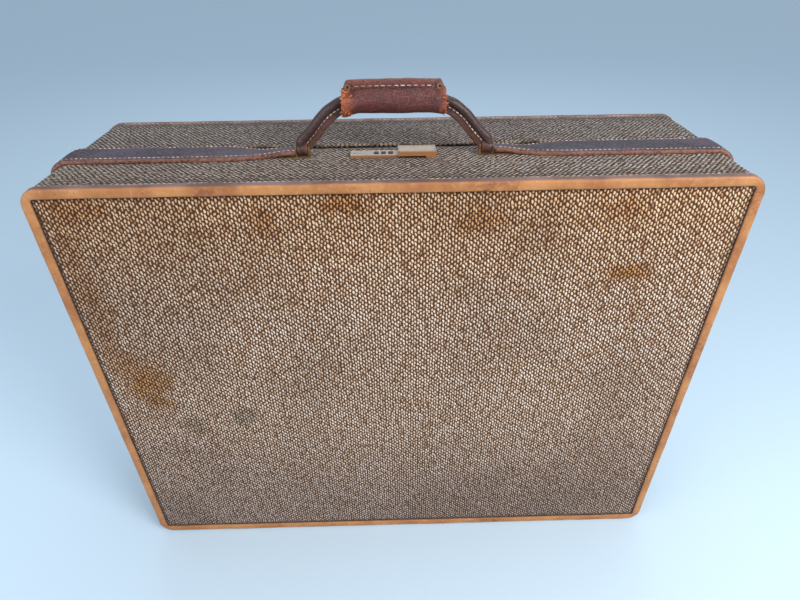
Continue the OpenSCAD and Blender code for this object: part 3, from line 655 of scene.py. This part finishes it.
def sweep_outline(name, profile, side, body, material, replaces, masks, rough,
                  tighten=1.0, notch=False):
    """Sweeps a closed (depth, inset) profile round the case. side is -1 for the body and 1 for the lid.

    rough is how uneven it is. notch sinks it under the hinges, and opens it for the lock.
    """
    spans = lengths_round(profile)

    def point(i, j):
        depth, inset = profile[i]
        x, z = on_outline(STOPS[j], inset, tighten)
        if notch and inset < TWEED_IN:
            sunk = TWEED_IN + (inset - TWEED_IN) * smoothstep(z, BASE + 2 * MM, BASE + 9 * MM)
            x, z = on_outline(STOPS[j], sunk, tighten)
        y = side * depth
        at_hinge = any(abs(x - hinge) < HINGE_HALF + 0.4 * MM for hinge in HINGE_XS)
        if notch and STOPS[j][0] == "bottom" and at_hinge and depth < NOTCH:
            y = side * NOTCH
        x += wobble((x, y, z), 18 * MM, rough) * (1 if abs(x) < HALF_W - CORNER_R else 0.5)
        z += wobble((x, y, z + 5), 22 * MM, rough)
        if depth > 4 * MM:
            y += wobble((x, y + 3, z), 26 * MM, rough)
        return x, y, z

    def uv(i, j):
        return spans[i], LENGTHS[j]

    verts, faces, uvs, _ = net(len(profile), len(STOPS), point, uv, None, True, True, side > 0)
    if notch and side < 0:
        faces, uvs = open_lock_hole(profile, faces, uvs, uv)
    values = {key: [row[i] for i in range(len(profile)) for _ in STOPS] for key, row in masks.items()}
    piece(name, verts, faces, body, material, replaces, uvs, values)


def build_binding(side, half):
    """Leather edge: a flat rolled band on the face and a thin return round the sides."""
    shape = [
        # depth from the face and inset in mm, tan face = 0 or dark return = 1, gutter; the dark return and
        # the gutter are painted shade
        (9.9, 1.0, 1, 0), (9.6, 0.35, 1, 0), (8.8, 0.10, 1, 0), (6.0, 0.0, 1, 0), (3.8, 0.0, 1, 0),
        (3.1, 0.0, 1, 0), (2.2, 0.05, 1, 0), (1.5, 0.30, 0.7, 0), (0.7, 0.85, 0, 0), (0.2, 1.8, 0, 0),
        (0.0, 3.2, 0, 0), (0.0, 6.4, 0, 0), (0.25, 8.2, 0, 0), (0.7, 9.2, 0, 0), (1.3, 9.8, 0.1, 0.5),
        (2.2, 10.1, 0, 1), (3.0, 10.2, 0, 1), (3.0, 6.0, 1, 1), (3.2, 2.6, 1, 1), (9.9, 2.2, 1, 1),
    ]
    profile = [(HALF_D - d * MM, a * MM) for d, a, _, _ in shape]
    masks = {"edge": [e for _, _, e, _ in shape], "gutter": [g for *_, g in shape]}
    sweep_outline(f"{half}_edge_binding", profile, side, half, "band",
                  [f"{half}_binding"], masks, 0.28 * MM, tighten=1.5)


def build_tweed_side(side, half):
    """The covering round one half, tucked under the binding and rolled over at the seam."""
    start = HALF_D - BAND + 3 * MM
    # The rolled edge at the seam, as depth and inset in mm. The lid's is a fat lip.
    edge = [(5.0, 1.0), (3.8, 1.05), (2.8, 1.3), (2.0, 1.8), (1.5, 2.3), (1.3, 2.9)]
    if side > 0:
        edge = [(10.5, 1.0), (9.2, 0.75), (8.0, 0.25), (6.4, 0.0), (4.2, -0.1), (2.4, 0.05), (1.4, 0.55),
                (1.0, 1.3), (0.95, 2.6)]
    reach = edge[0][0] * MM
    count = 16
    lock_depths = list(LOCK_DEPTHS) if side < 0 else []
    shares = sorted([k / count for k in range(count)] + [(d - start) / (reach - start) for d in lock_depths])
    profile = [(start + (reach - start) * t, TWEED_IN - 0.3 * MM * math.sin(math.pi * t)) for t in shares]
    profile += [(d * MM, a * MM) for d, a in edge]
    profile += [(d, 2.8 * MM) for d in lock_depths[::-1]]
    profile.append((start, 2.6 * MM))
    # Painted shade: darker by the binding, in the seam's groove and round the lock's opening.
    edge_shade = [max(0.0, 1.0 - 4.0 * t) * 0.7 for t in shares]
    edge_shade += [0.0] * (len(edge) - 5) + [0.5, 0.9, 1.0, 1.0, 1.0] + [1.0] * (1 + len(lock_depths))
    sweep_outline(f"{half}_tweed_wrap", profile, side, half, f"tweed_{half}_side",
                  [f"{half}_tweed_sides"], {"edge": edge_shade}, 0.12 * MM, notch=True)


def build_tweed_face(side, half):
    """The covering on one face: slightly padded, dipping to the binding all round."""
    inset = 8.6 * MM
    half_x = HALF_W - inset
    half_z = HALF_H - inset
    cols, rows = 110, 84

    def flat(i, j):
        return half_x * (2 * j / (cols - 1) - 1), half_z * (2 * i / (rows - 1) - 1)

    def margin(i, j):
        x, z = flat(i, j)
        return min(half_x - abs(x), half_z - abs(z))

    def point(i, j):
        x, z = flat(i, j)
        swell = 1.3 * MM * smoothstep(margin(i, j), 0, 26 * MM) - 0.5 * MM
        swell += wobble((x, side, z), 90 * MM, 0.5 * MM) * smoothstep(margin(i, j), 0, 30 * MM)
        return x, side * (HALF_D - FACE_IN + swell), MID_Z + z

    # Painted shade where the panel dips to the binding.
    def edge_shade(i, j):
        return 1 - smoothstep(margin(i, j), 0, 6 * MM)

    verts, faces, uvs, edge = net(rows, cols, point, flat, edge_shade, flip=side > 0)
    obj = piece(f"{half}_tweed_panel", verts, faces, half, f"tweed_{half}",
                [f"{half}_tweed_face"], uvs, {"edge": edge})
    thicken(obj, 0.9 * MM, -1)


# ---------- Straps ----------

strap_lo, strap_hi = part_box("strap_right")
STRAP_T = strap_hi.z - DECK
STRAP_Y = (strap_lo.y + strap_hi.y) / 2
STRAP_HALF = (strap_hi.y - strap_lo.y) / 2
NECK_X = strap_lo.x
NECK_HALF = 7 * MM
NECK_LIFT = 3.6 * MM
NECK_TILT = 0.315
STRAP_FOOT = strap_lo.z
# Where, along x, the neck's tilt and lift die out and the strap widens.
TILT_END = 118 * MM
LIFT_END = 136 * MM
TAPER = (112 * MM, 172 * MM)


def strap_route():
    """Stops along a strap: (x, z, outward x, outward z, taper 0..1) from the neck to the foot."""
    bend = CORNER_R - TWEED_IN
    stops = []
    x = NECK_X
    while x < HALF_W - CORNER_R:
        lift = NECK_LIFT * (1 - smoothstep(x, NECK_X, LIFT_END))
        tilt = NECK_TILT * (1 - smoothstep(x, NECK_X, TILT_END))
        stops.append((x, DECK + lift, -tilt, 1.0, smoothstep(x, *TAPER)))
        x += 3 * MM
    for k in range(13):
        a = math.radians(90 - 90 * k / 12)
        stops.append((HALF_W - CORNER_R + bend * math.cos(a), TOP - CORNER_R + bend * math.sin(a),
                      math.cos(a), math.sin(a), 1.0))
    z = TOP - CORNER_R - 5 * MM
    while z > STRAP_FOOT + 3 * MM:
        stops.append((HALF_W - TWEED_IN, z, 1.0, 0.0, 1.0))
        z -= 5 * MM
    stops.append((HALF_W - TWEED_IN, STRAP_FOOT, 1.0, 0.0, 1.0))
    return stops


# Half of the strap's section: across -1..0, height 0..1, raw edge. The groove holds the stitches.
HALF_STRAP = [
    (-1.0, 0.04, 1), (-1.0, 0.52, 1), (-0.985, 0.74, 0.9), (-0.95, 0.86, 0.35), (-0.90, 0.92, 0),
    (-0.82, 0.93, 0), (-0.79, 0.88, 0), (-0.76, 0.93, 0), (-0.60, 0.98, 0), (-0.30, 1.0, 0), (0.0, 1.0, 0),
]
STRAP_SECTION = HALF_STRAP + [(-x, h, raw) for x, h, raw in HALF_STRAP[-2::-1]]
STRAP_SECTION += [(0.5, 0.02, 1), (-0.5, 0.02, 1)]
STITCH_AT = 0.79


def strap_frame(stop, hand):
    """Centre of the underside, outward normal, and half-width there."""
    x, z, nx, nz, taper = stop
    half = NECK_HALF + (STRAP_HALF - NECK_HALF) * taper
    y = HANDLE_Y + (STRAP_Y - HANDLE_Y) * taper
    out = Vector((hand * nx, 0, nz)).normalized()
    return Vector((hand * x, y, z)), out, half


# ---------- Handle ----------

# The grip's fin along its top, front half: forward and up from the grip's axis, in mm.
GRIP_FIN = [(-0.8, 18.0), (-2.0, 17.7), (-2.8, 16.8), (-3.0, 14.6), (-3.1, 12.6), (-3.3, 11.6), (-3.7, 10.9),
            (-4.9, 10.6)]
FIN_SEAM = 4
SLEEVE_R = 12.2
SLEEVE_ARC = [math.radians(118 + (270 - 118) * k / 15) for k in range(16)]


def grip_section(x):
    """The grip's outline at x, as (y, z) from its axis: the fin, the stuffed sleeve, and their mirror."""
    end = smoothstep(abs(x), 32 * MM, GRIP_HALF)
    rim = smoothstep(abs(x), 46.4 * MM, GRIP_HALF + 1.4 * MM)
    chop = smoothstep(abs(x), 42.5 * MM, GRIP_HALF + 1.0 * MM)
    thin = 1 - 0.30 * smoothstep(abs(x), 35 * MM, 38 * MM)
    pinch = smoothstep(abs(x), 34 * MM, 39.5 * MM)
    sag = (4.6 if x < 0 else 2.53) * MM * end
    half = []
    for y, z in GRIP_FIN:
        z = z * MM - 0.8 * MM * (abs(x) / GRIP_HALF) ** 2
        z -= chop * max(0.0, z - 5 * MM) * 0.85
        half.append((y * MM * thin * (1 - 0.12 * rim), z))
    for a in SLEEVE_ARC:
        r = (SLEEVE_R + 0.5 * math.sin(3.1 * a + 55 * x)) * MM * (1 - 0.10 * rim)
        y = r * math.cos(a) * (1 + 0.06 * end)
        z = r * math.sin(a) - sag * smoothstep(-math.sin(a), 0.2, 1.0)
        half.append((y + (-2.5 * MM - y) * pinch * smoothstep(z, 4 * MM, 9 * MM), z))
    return half + [(-y, z) for y, z in half[-2::-1]]


def raggedness(x, y, z):
    """How torn the grip is: 1 at the left end, a little at the right."""
    tear = wobble((x, y, z), 5 * MM, 7 * MM)
    left = 1 - smoothstep(x + tear, -46 * MM, -36 * MM)
    right = 0.8 * smoothstep(x - tear, 44 * MM, 49 * MM)
    return max(left, right) * (1 - smoothstep(z, 9.5 * MM, 12 * MM))


def build_grip():
    """Padded grip: a stuffed leather sleeve whose edges are sewn together in a fin along the top."""
    rows = 64
    turns = [math.pi / 2 * (2 * k / (rows - 1) - 1) * 0.999 for k in range(rows)]
    xs = [GRIP_HALF * math.sin(turn) for turn in turns]
    sections = [grip_section(x) for x in xs]
    cols = len(sections[0])

    def point(i, j):
        x = xs[i]
        y, z = sections[i][j]
        bulge = wobble((x, y * 2, z), 14 * MM, 0.55 * MM)
        bulge += raggedness(x, y, z) * wobble((x, y, z), 2.2 * MM, 0.9 * MM)
        crease = 0.35 * MM * math.sin(x / (5.5 * MM) + 2 * noise.noise(Vector((x * 60, z * 90, 0))))
        crease *= smoothstep(z, -4 * MM, 8 * MM) * (1 - smoothstep(z, 9 * MM, 11 * MM))
        out = Vector((0, y, z)).normalized() * (bulge + crease)
        shift = smoothstep(abs(x), 44 * MM, GRIP_HALF) * noise.noise(Vector((1, y * 300, z * 300)))
        return x + math.copysign(0.9 * MM, x) * shift, HANDLE_Y + y + out.y, GRIP_Z + z + out.z

    def worn_mask(i, j):
        top = 0.35 * smoothstep(sections[i][j][1], 12 * MM, 17 * MM)
        return max(top, 0.45 * smoothstep(abs(xs[i]), 38 * MM, 47 * MM))

    verts, faces, _, torn = net(rows, cols, point, mask=lambda i, j: raggedness(xs[i], *sections[i][j]),
                                wrap_cols=True)
    worn = [worn_mask(i, j) for i in range(rows) for j in range(cols)]
    # Each end is a shallow cone down into the sleeve.
    for row, way in ((0, -1), (rows - 1, 1)):
        rim = range(row * cols, (row + 1) * cols)
        mid = sum((verts[k] for k in rim), Vector()) / cols
        verts.append(mid + Vector((-2 * MM * way, 0, -1 * MM)))
        torn.append(1.0)
        worn.append(1.0)
        for k in range(cols):
            faces.append([rim[k], rim[(k + 1) % cols], len(verts) - 1][::way])
    obj = piece("grip_leather", verts, faces, "handle", "grip", ["handle_grip"],
                masks={"edge": torn, "worn": worn})
    rounder(obj)

    seam = [(x, *section[FIN_SEAM]) for x, section in zip(xs, sections) if abs(x) < 37 * MM]
    lines = [([Vector((x, HANDLE_Y - way * (y - 0.3 * MM), GRIP_Z + z)) for x, y, z in seam],
              [Vector((0, way, 0.15)).normalized()] * len(seam)) for way in (-1, 1)]
    sew("grip_stitching", lines, "handle", 6 * MM, 4.2 * MM, 0.5 * MM)


def build_tatters():
    """Curled scraps of torn leather at the grip's ends, more of them on the left."""
    verts, faces = [], []
    steps = 5
    for left in [True] * 22 + [False] * 12:
        x = rng.uniform(-48.5, -38) * MM if left else rng.uniform(44, 48.5) * MM
        a = math.radians(rng.uniform(135, 262))
        r = 12.4 * MM
        base = Vector((x, HANDLE_Y + r * math.cos(a), GRIP_Z + r * math.sin(a) * (1.1 if left else 1.0)))
        out = Vector((0, math.cos(a), math.sin(a)))
        lay = Vector((-1 if left else 1, rng.uniform(-0.6, 0.6), rng.uniform(-0.8, 0.5))).normalized()
        width = rng.uniform(0.5, 1.5) * MM
        length = rng.uniform(1.8, 4.2) * MM
        curl = rng.uniform(0.2, 1.1)
        side = lay.cross(out).normalized()

        def point(i, j):
            t = i / (steps - 1)
            spot = base + lay * (length * (t - 0.3)) + out * (length * curl * t * t * 0.6 - 0.2 * MM)
            offset, lift = ((-1, 0), (1, 0), (0.8, 0.5 * MM), (-0.8, 0.5 * MM))[j]
            return spot + side * (offset * width * (1 - 0.75 * t)) + out * lift

        scrap, around, _ = tube(steps, 4, point)
        faces += [[len(verts) + v for v in face] for face in around]
        verts += scrap
    piece("grip_torn_leather", verts, faces, "handle", "torn")


def rounder(obj):
    """One level of subdivision for a rounder surface."""
    sub = obj.modifiers.new("rounder", "SUBSURF")
    sub.levels = sub.render_levels = 1


# The right arm's middle line in mm, (x, z) from its pivot up to the grip.
ARM_LINE = [(89.0, 509.8), (87.4, 514.6), (82.6, 520.6), (76.4, 527.2), (70.0, 535.0), (63.0, 542.2),
            (55.6, 547.6), (48.4, 551.4), (42.0, 553.6)]
# Front half of its section in mm: outward across the bend, towards the front, raw edge.
HALF_ARM = [
    (7.6, 0.0, 0), (7.3, -2.3, 0), (6.3, -4.1, 0), (4.7, -5.2, 0), (3.0, -5.5, 0), (1.4, -4.9, 0),
    (0.3, -3.8, 0), (-0.5, -2.9, 0), (-1.4, -2.5, 0), (-3.0, -2.7, 0), (-5.2, -2.6, 0.15), (-7.0, -2.3, 0.5),
    (-7.9, -1.6, 1), (-8.1, -0.2, 1),
]
ARM_SECTION = HALF_ARM + [(n, -y, raw) for n, y, raw in HALF_ARM[-1:0:-1]]
ARM_SEAM = (-1.5 * MM, 2.95 * MM)


def curve_through(points, count):
    """count points evenly spread over a smooth curve through the given ones."""
    pts = [Vector(p) for p in points]
    pts = [2 * pts[0] - pts[1]] + pts + [2 * pts[-1] - pts[-2]]
    curve = []
    spans = len(points) - 1
    for k in range(count):
        t = spans * k / (count - 1)
        i = min(int(t), spans - 1)
        f = t - i
        a, b, c, d = pts[i:i + 4]
        curve.append(0.5 * (2 * b + (c - a) * f + (2 * a - 5 * b + 4 * c - d) * f * f
                            + (3 * b - a - 3 * c + d) * f * f * f))
    return curve


def build_arm(hand, side_name):
    """One bowed arm: a rolled cord along the outside, and inside it a sewn flap."""
    rows = 40
    line = curve_through([(x * MM, z * MM) for x, z in ARM_LINE], rows)
    normals = []
    for k in range(rows):
        tangent = (line[min(k + 1, rows - 1)] - line[max(k - 1, 0)]).normalized()
        normals.append(Vector((tangent.y, -tangent.x)))

    def at(k, off, y):
        """The point off outward from the line and y behind its middle."""
        spot = line[k] + normals[k] * off
        return Vector((hand * spot.x, HANDLE_Y + y, spot.y))

    def point(i, j):
        n, y, raw = ARM_SECTION[j]
        t = i / (rows - 1)
        narrow = 1 - 0.20 * (1 - smoothstep(t, 0.0, 0.14))
        fold = 1.2 * math.exp(-((t - 0.16) / 0.08) ** 2) * max(0.0, n / 7.6)
        thick = 0.98 - 0.16 * smoothstep(t, 0.75, 1.0)
        spot = at(i, (n * narrow + fold) * MM, y * thick * MM)
        uneven = wobble(spot, 9 * MM, 0.5 * MM) + wobble(spot, 3 * MM, 0.18 * MM)
        if raw > 0.4:
            uneven += 0.4 * MM * noise.noise(spot * 700)
        return spot + Vector((hand * normals[i].x * n, y, normals[i].y * n)).normalized() * uneven

    verts, faces, edge = tube(rows, len(ARM_SECTION), point, lambda i, j: ARM_SECTION[j][2], hand < 0)
    worn = [0.6 if raw > 0.05 else 0.15 for raw in edge]
    arm = piece(f"arm_leather_{side_name}", verts, faces, "handle", "arm",
                [f"handle_arm_{side_name}"], masks={"edge": edge, "worn": worn})
    rounder(arm)
    build_arm_loop(hand, side_name)
    sewn = range(3, rows - 6)
    lines = [([at(k, ARM_SEAM[0], front * ARM_SEAM[1]) for k in sewn], [Vector((0, front, 0))] * len(sewn))
             for front in (-1, 1)]
    sew(f"arm_stitching_{side_name}", lines, "handle", 4.4 * MM, 3.2 * MM, 0.48 * MM)


# The section of the leather eye round the pivot pin: x and radius in mm, raw edge.
EYE_SECTION = [
    (-5.0, 4.9, 1), (-4.8, 5.6, 1), (-4.2, 5.95, 0.6), (-2.0, 6.05, 0), (2.0, 6.05, 0), (4.2, 5.95, 0.6),
    (4.8, 5.6, 1), (5.0, 4.9, 1), (5.0, 2.2, 1), (0.0, 2.1, 1), (-5.0, 2.2, 1),
]


def build_arm_loop(hand, side_name):
    """The eye of leather that wraps round the pivot pin, with a raw edge at each side."""
    pivot = Vector((hand * PIVOT_X, HANDLE_Y, PIVOT_Z))
    turns = 28

    def point(i, j):
        x, r, _ = EYE_SECTION[j]
        a = 2 * math.pi * i / turns
        r = r * MM + (wobble((x, a * 0.01, hand), 6 * MM, 0.3 * MM) if r > 3 else 0)
        return pivot + Vector((x * MM, r * math.cos(a), r * math.sin(a)))

    verts, faces, _, edge = net(turns, len(EYE_SECTION), point, None, lambda i, j: EYE_SECTION[j][2],
                                True, True)
    piece(f"arm_eye_{side_name}", verts, faces, "handle", "arm",
          masks={"edge": edge, "worn": [0.4] * len(edge)})


def build_strap(hand, side_name):
    """Stitched leather strap: along the top, over the corner and down one end."""
    frames = [strap_frame(stop, hand) for stop in strap_route()]

    def point(i, j):
        base, out, half = frames[i]
        across, high, _ = STRAP_SECTION[j]
        wave = wobble(base + Vector((0, across * 0.02, 0)), 30 * MM, 0.5 * MM)
        rise = high * (STRAP_T + wave) if high > 0.1 else high * STRAP_T
        side_wave = wobble(base + Vector((0.3, across, 0)), 24 * MM, 0.5 * MM) * abs(across)
        return base + out * rise + Vector((0, across * half + side_wave, 0))

    verts, faces, raw = tube(len(frames), len(STRAP_SECTION), point,
                             lambda i, j: STRAP_SECTION[j][2], hand > 0)
    piece(f"strap_leather_{side_name}", verts, faces, "body", "strap",
          [f"strap_{side_name}"], masks={"edge": raw})
    lines = [([base + out * (STRAP_T * 0.93) + Vector((0, across * half, 0)) for base, out, half in frames],
              [out for _, out, _ in frames]) for across in (-STITCH_AT, STITCH_AT)]
    sew(f"strap_stitching_{side_name}", lines, "body", 4.6 * MM, 3.1 * MM, 0.42 * MM)


# ---------- Stitching, lip and slide rim ----------

def outward(path):
    """Outward normals of a loop drawn round the case."""
    run_x = HALF_W - CORNER_R
    cores = [Vector((min(max(p.x, -run_x), run_x), p.y, min(max(p.z, BASE + CORNER_R), TOP - CORNER_R)))
             for p in path]
    return [(p - core).normalized() for p, core in zip(path, cores)]


def binding_stitches(side, half):
    """A line of stitches along the back edge of the binding's return."""
    path = ring(side * (HALF_D - 8.0 * MM), 0.0)
    sew(f"{half}_binding_stitching", [(path, outward(path))], half,
        5.2 * MM, 3.6 * MM, 0.38 * MM, "dark_thread")


def build_lid_lip():
    """Fat nubs of the covering where it rolls over the lid's lip, but not along the hinges."""
    path = ring(2.9 * MM, 0.1 * MM)
    marks = []
    for spot, heading, up in along_path(path, outward(path), 4.4 * MM, 0.35):
        if spot.z > BASE + 8 * MM:
            shift = Vector((0, rng.uniform(-0.25, 0.25) * MM, 0))
            marks.append((spot + shift, heading, (up + Vector((0, -0.5, 0))).normalized()))
    stitches("lid_lip_nubs", marks, "lid", "nub", 3.5 * MM, 1.5 * MM)


def build_slide_rim():
    """The raised border round the top of the latch slide: four bars with rounded edges."""
    lo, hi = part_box("latch_slide")
    edge, sunk, rise, wide = 0.7 * MM, 0.3 * MM, 0.45 * MM, 1.0 * MM
    x0, x1, y0, y1 = lo.x + edge, hi.x - edge, lo.y + edge, hi.y - edge
    verts, faces = [], []
    for xs, ys in (((x0, x1), (y0, y0 + wide)), ((x0, x1), (y1 - wide, y1)),
                   ((x0, x0 + wide), (y0, y1)), ((x1 - wide, x1), (y0, y1))):
        for face in ((0, 2, 3, 1), (4, 5, 7, 6), (0, 1, 5, 4), (2, 6, 7, 3), (0, 4, 6, 2), (1, 3, 7, 5)):
            faces.append([len(verts) + k for k in face])
        verts += [(x, y, z) for z in (hi.z - sunk, hi.z + rise) for y in ys for x in xs]
    bevel(piece("latch_slide_rim", verts, faces, "latch", "brass", smooth=False), 0.15 * MM)


# ---------- Pieces that keep their CAD shape ----------

KEPT = {
    "plate": ["lock_plate"],
    "brass": ["latch_slide", "lock_screws", "strap_rivets", "tie_strap_anchors",
              "tie_buckles", "hinge_rivets_body", "hinge_rivets_lid", "feet_body", "feet_lid"],
    "bronze": ["handle_base_left", "handle_base_right", "handle_base_screws", "handle_eyelets"],
    "steel": ["handle_core", "lock_case", "dial_shaft", "latch_bolt", "latch_spring", "change_lever",
              "catch_plate", "catch_rivets"],
    "edge_metal": ["body_valance", "lid_valance"],
    "rail_wood": ["body_rails", "body_corner_blocks", "lid_rails", "lid_corner_blocks"],
    "ply": ["body_panel", "lid_panel"],
    "enamel": ["dial_1", "dial_2", "dial_3"],
    "lining": ["body_lining", "lid_lining"],
    "webbing": ["lid_pocket_trim"],
}
for side_name in ("left", "centre", "right"):
    KEPT["brass"] += [f"hinge_body_leaf_{side_name}", f"hinge_lid_leaf_{side_name}"]
    KEPT["steel"] += [f"hinge_pin_{side_name}"]
BEVELLED = {
    "lock_plate": 0.5 * MM, "latch_slide": 0.5 * MM, "handle_base_left": 0.3 * MM,
    "handle_base_right": 0.3 * MM, "tie_buckles": 0.4 * MM, "tie_strap_anchors": 0.3 * MM,
}


# ---------- Inside ----------

def build_tie_strap(side_name):
    """A woven packing strap, bowed a little off the lining between its anchors and its buckle."""
    lo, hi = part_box(f"tie_strap_{side_name}")
    buckle = sum(c.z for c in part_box("tie_buckles")) / 2
    rows, across = 90, 7
    wide, thick = hi.x - lo.x, hi.y - lo.y

    def bow(z):
        low, high = (lo.z, buckle) if z < buckle else (buckle, hi.z)
        return 5 * MM * math.sin(math.pi * (z - low) / (high - low)) ** 2

    section = [(-1 + 2 * k / (across - 1), 0.0) for k in range(across)]
    section += [(x, 1.0) for x, _ in reversed(section)]

    def point(i, j):
        z = lo.z + (hi.z - lo.z) * i / (rows - 1)
        side, level = section[j]
        x = (lo.x + hi.x) / 2 + side * wide / 2 + wobble((0, side, z), 60 * MM, 0.6 * MM)
        cup = 0.5 * MM * (1 - side * side) + wobble((x, 0, z), 40 * MM, 0.5 * MM)
        lift = bow(z)
        return x, lo.y + thick * level + lift + cup * smoothstep(lift, 0, 2 * MM), z

    verts, faces, _ = tube(rows, len(section), point)
    piece(f"packing_strap_{side_name}", verts, faces, "body", "webbing",
          [f"tie_strap_{side_name}"])
    lines = [([Vector(point(i, 0)) + Vector((inset, thick + 0.1 * MM, 0)) for i in range(rows)],
              [Vector((0, 1, 0))] * rows) for inset in (2.5 * MM, wide - 2.5 * MM)]
    sew(f"packing_strap_stitching_{side_name}", lines, "body", 5 * MM, 3.4 * MM, 0.35 * MM)


def build_pocket():
    """Gathered cloth pocket: full at the belly, pulled in under the trim and sewn down round its edge."""
    lo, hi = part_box("lid_pocket")
    cols, rows = 260, 40
    wide, tall = hi.x - lo.x, hi.z - lo.z
    pitch = 13 * MM

    def point(i, j):
        u, v = j / (cols - 1), i / (rows - 1)
        x, z = lo.x + wide * u, lo.z + tall * v
        sewn = min(smoothstep(u, 0, 0.06), smoothstep(1 - u, 0, 0.06), smoothstep(v, 0, 0.16))
        belly = 9 * MM * sewn * (1 - 0.85 * smoothstep(v, 0.55, 0.93))
        wander = noise.noise(Vector((x * 9, z * 3, 2))) * 5 * MM
        wander += noise.noise(Vector((x * 30, z * 5, 4))) * 1.5 * MM
        gather = 0.5 + 0.5 * math.sin(2 * math.pi * (x + wander) / pitch)
        gather *= 0.35 + 0.65 * smoothstep(v, 0.15, 0.9)
        depth = (belly + gather * 4.8 * MM * sewn) * (1 - smoothstep(v, 0.82, 0.93)) + 0.5 * MM
        return x, hi.y - 0.6 * MM - depth, z

    verts, faces, _, _ = net(rows, cols, point)
    obj = piece("pocket_cloth", verts, faces, "lid", "lining", ["lid_pocket"])
    thicken(obj, 0.6 * MM, 1)


# ---------- Camera, light and floor ----------

def add_light(name, kind, energy, colour, **props):
    """A light. The keywords set its other properties."""
    light = bpy.data.lights.new(name, kind)
    light.energy = energy
    light.color = colour
    for key, value in props.items():
        setattr(light, key, value)
    return add_object(name, light)


def add_softbox(name, place, aim, size, power, tint):
    """A rectangular area light at place that points at aim."""
    lamp = add_light(name, "AREA", power, tint, shape="RECTANGLE", size=size[0], size_y=size[1])
    lamp.location = place
    lamp.rotation_mode = "QUATERNION"
    lamp.rotation_quaternion = (Vector(aim) - Vector(place)).to_track_quat("-Z", "Y")


def build_stage():
    """Camera at the standing viewer's eye, a pale floor, and soft studio light."""
    scene = bpy.context.scene
    camera = add_object("camera", bpy.data.cameras.new("camera"))
    camera.location = (-4.4 * MM, -545.4 * MM, 688.2 * MM)
    camera.rotation_euler = [math.radians(a) for a in (55.509, 0.600, -1.269)]
    camera.data.sensor_width = 36.0
    camera.data.lens = 24.54
    camera.data.clip_start = 0.01
    scene.camera = camera

    floor = add_object("floor", bpy.data.meshes.new("floor"))
    reach = 20.0
    corners = [(-reach, -reach, 0), (reach, -reach, 0), (reach, reach, 0), (-reach, reach, 0)]
    floor.data.from_pydata(corners, [], [(0, 1, 2, 3)])
    floor.data.materials.append(Shader("pale_floor", Roughness=0.7).finish(srgb(196, 218, 234)))

    add_softbox("key", (0.95, -1.0, 1.15), (0.16, -0.05, 0.40), (0.7, 0.7), 24.5, (1.0, 0.96, 0.92))
    add_softbox("fill", (-1.2, -1.0, 1.1), (-0.1, 0, 0.4), (1.2, 1.0), 13.0, (1.0, 0.97, 0.98))
    add_softbox("back", (0.1, 1.9, 1.8), (0, 0, 0.45), (2.4, 1.0), 8.0, (0.84, 0.92, 1.0))
    overhead = add_light("overhead", "SUN", 0.95, (0.90, 0.95, 1.0), angle=math.radians(80))
    overhead.rotation_euler = (math.radians(-18), math.radians(12), 0)
    scene.world = bpy.data.worlds.new("studio")
    scene.world.use_nodes = True
    sky = scene.world.node_tree.nodes["Background"].inputs
    sky["Color"].default_value = srgb(206, 222, 238)
    sky["Strength"].default_value = 0.44
    scene.view_settings.view_transform = "Standard"


# ---------- The whole case ----------

for side, half in ((-1, "body"), (1, "lid")):
    build_binding(side, half)
    build_tweed_side(side, half)
    build_tweed_face(side, half)
build_strap(1, "right")
build_strap(-1, "left")
build_grip()
build_tatters()
build_arm(1, "right")
build_arm(-1, "left")
binding_stitches(-1, "body")
binding_stitches(1, "lid")
build_lid_lip()
build_slide_rim()
for material, names in KEPT.items():
    for name in names:
        soften(name, material, BEVELLED.get(name, 0.0))
build_tie_strap("left")
build_tie_strap("right")
build_pocket()
build_stage()
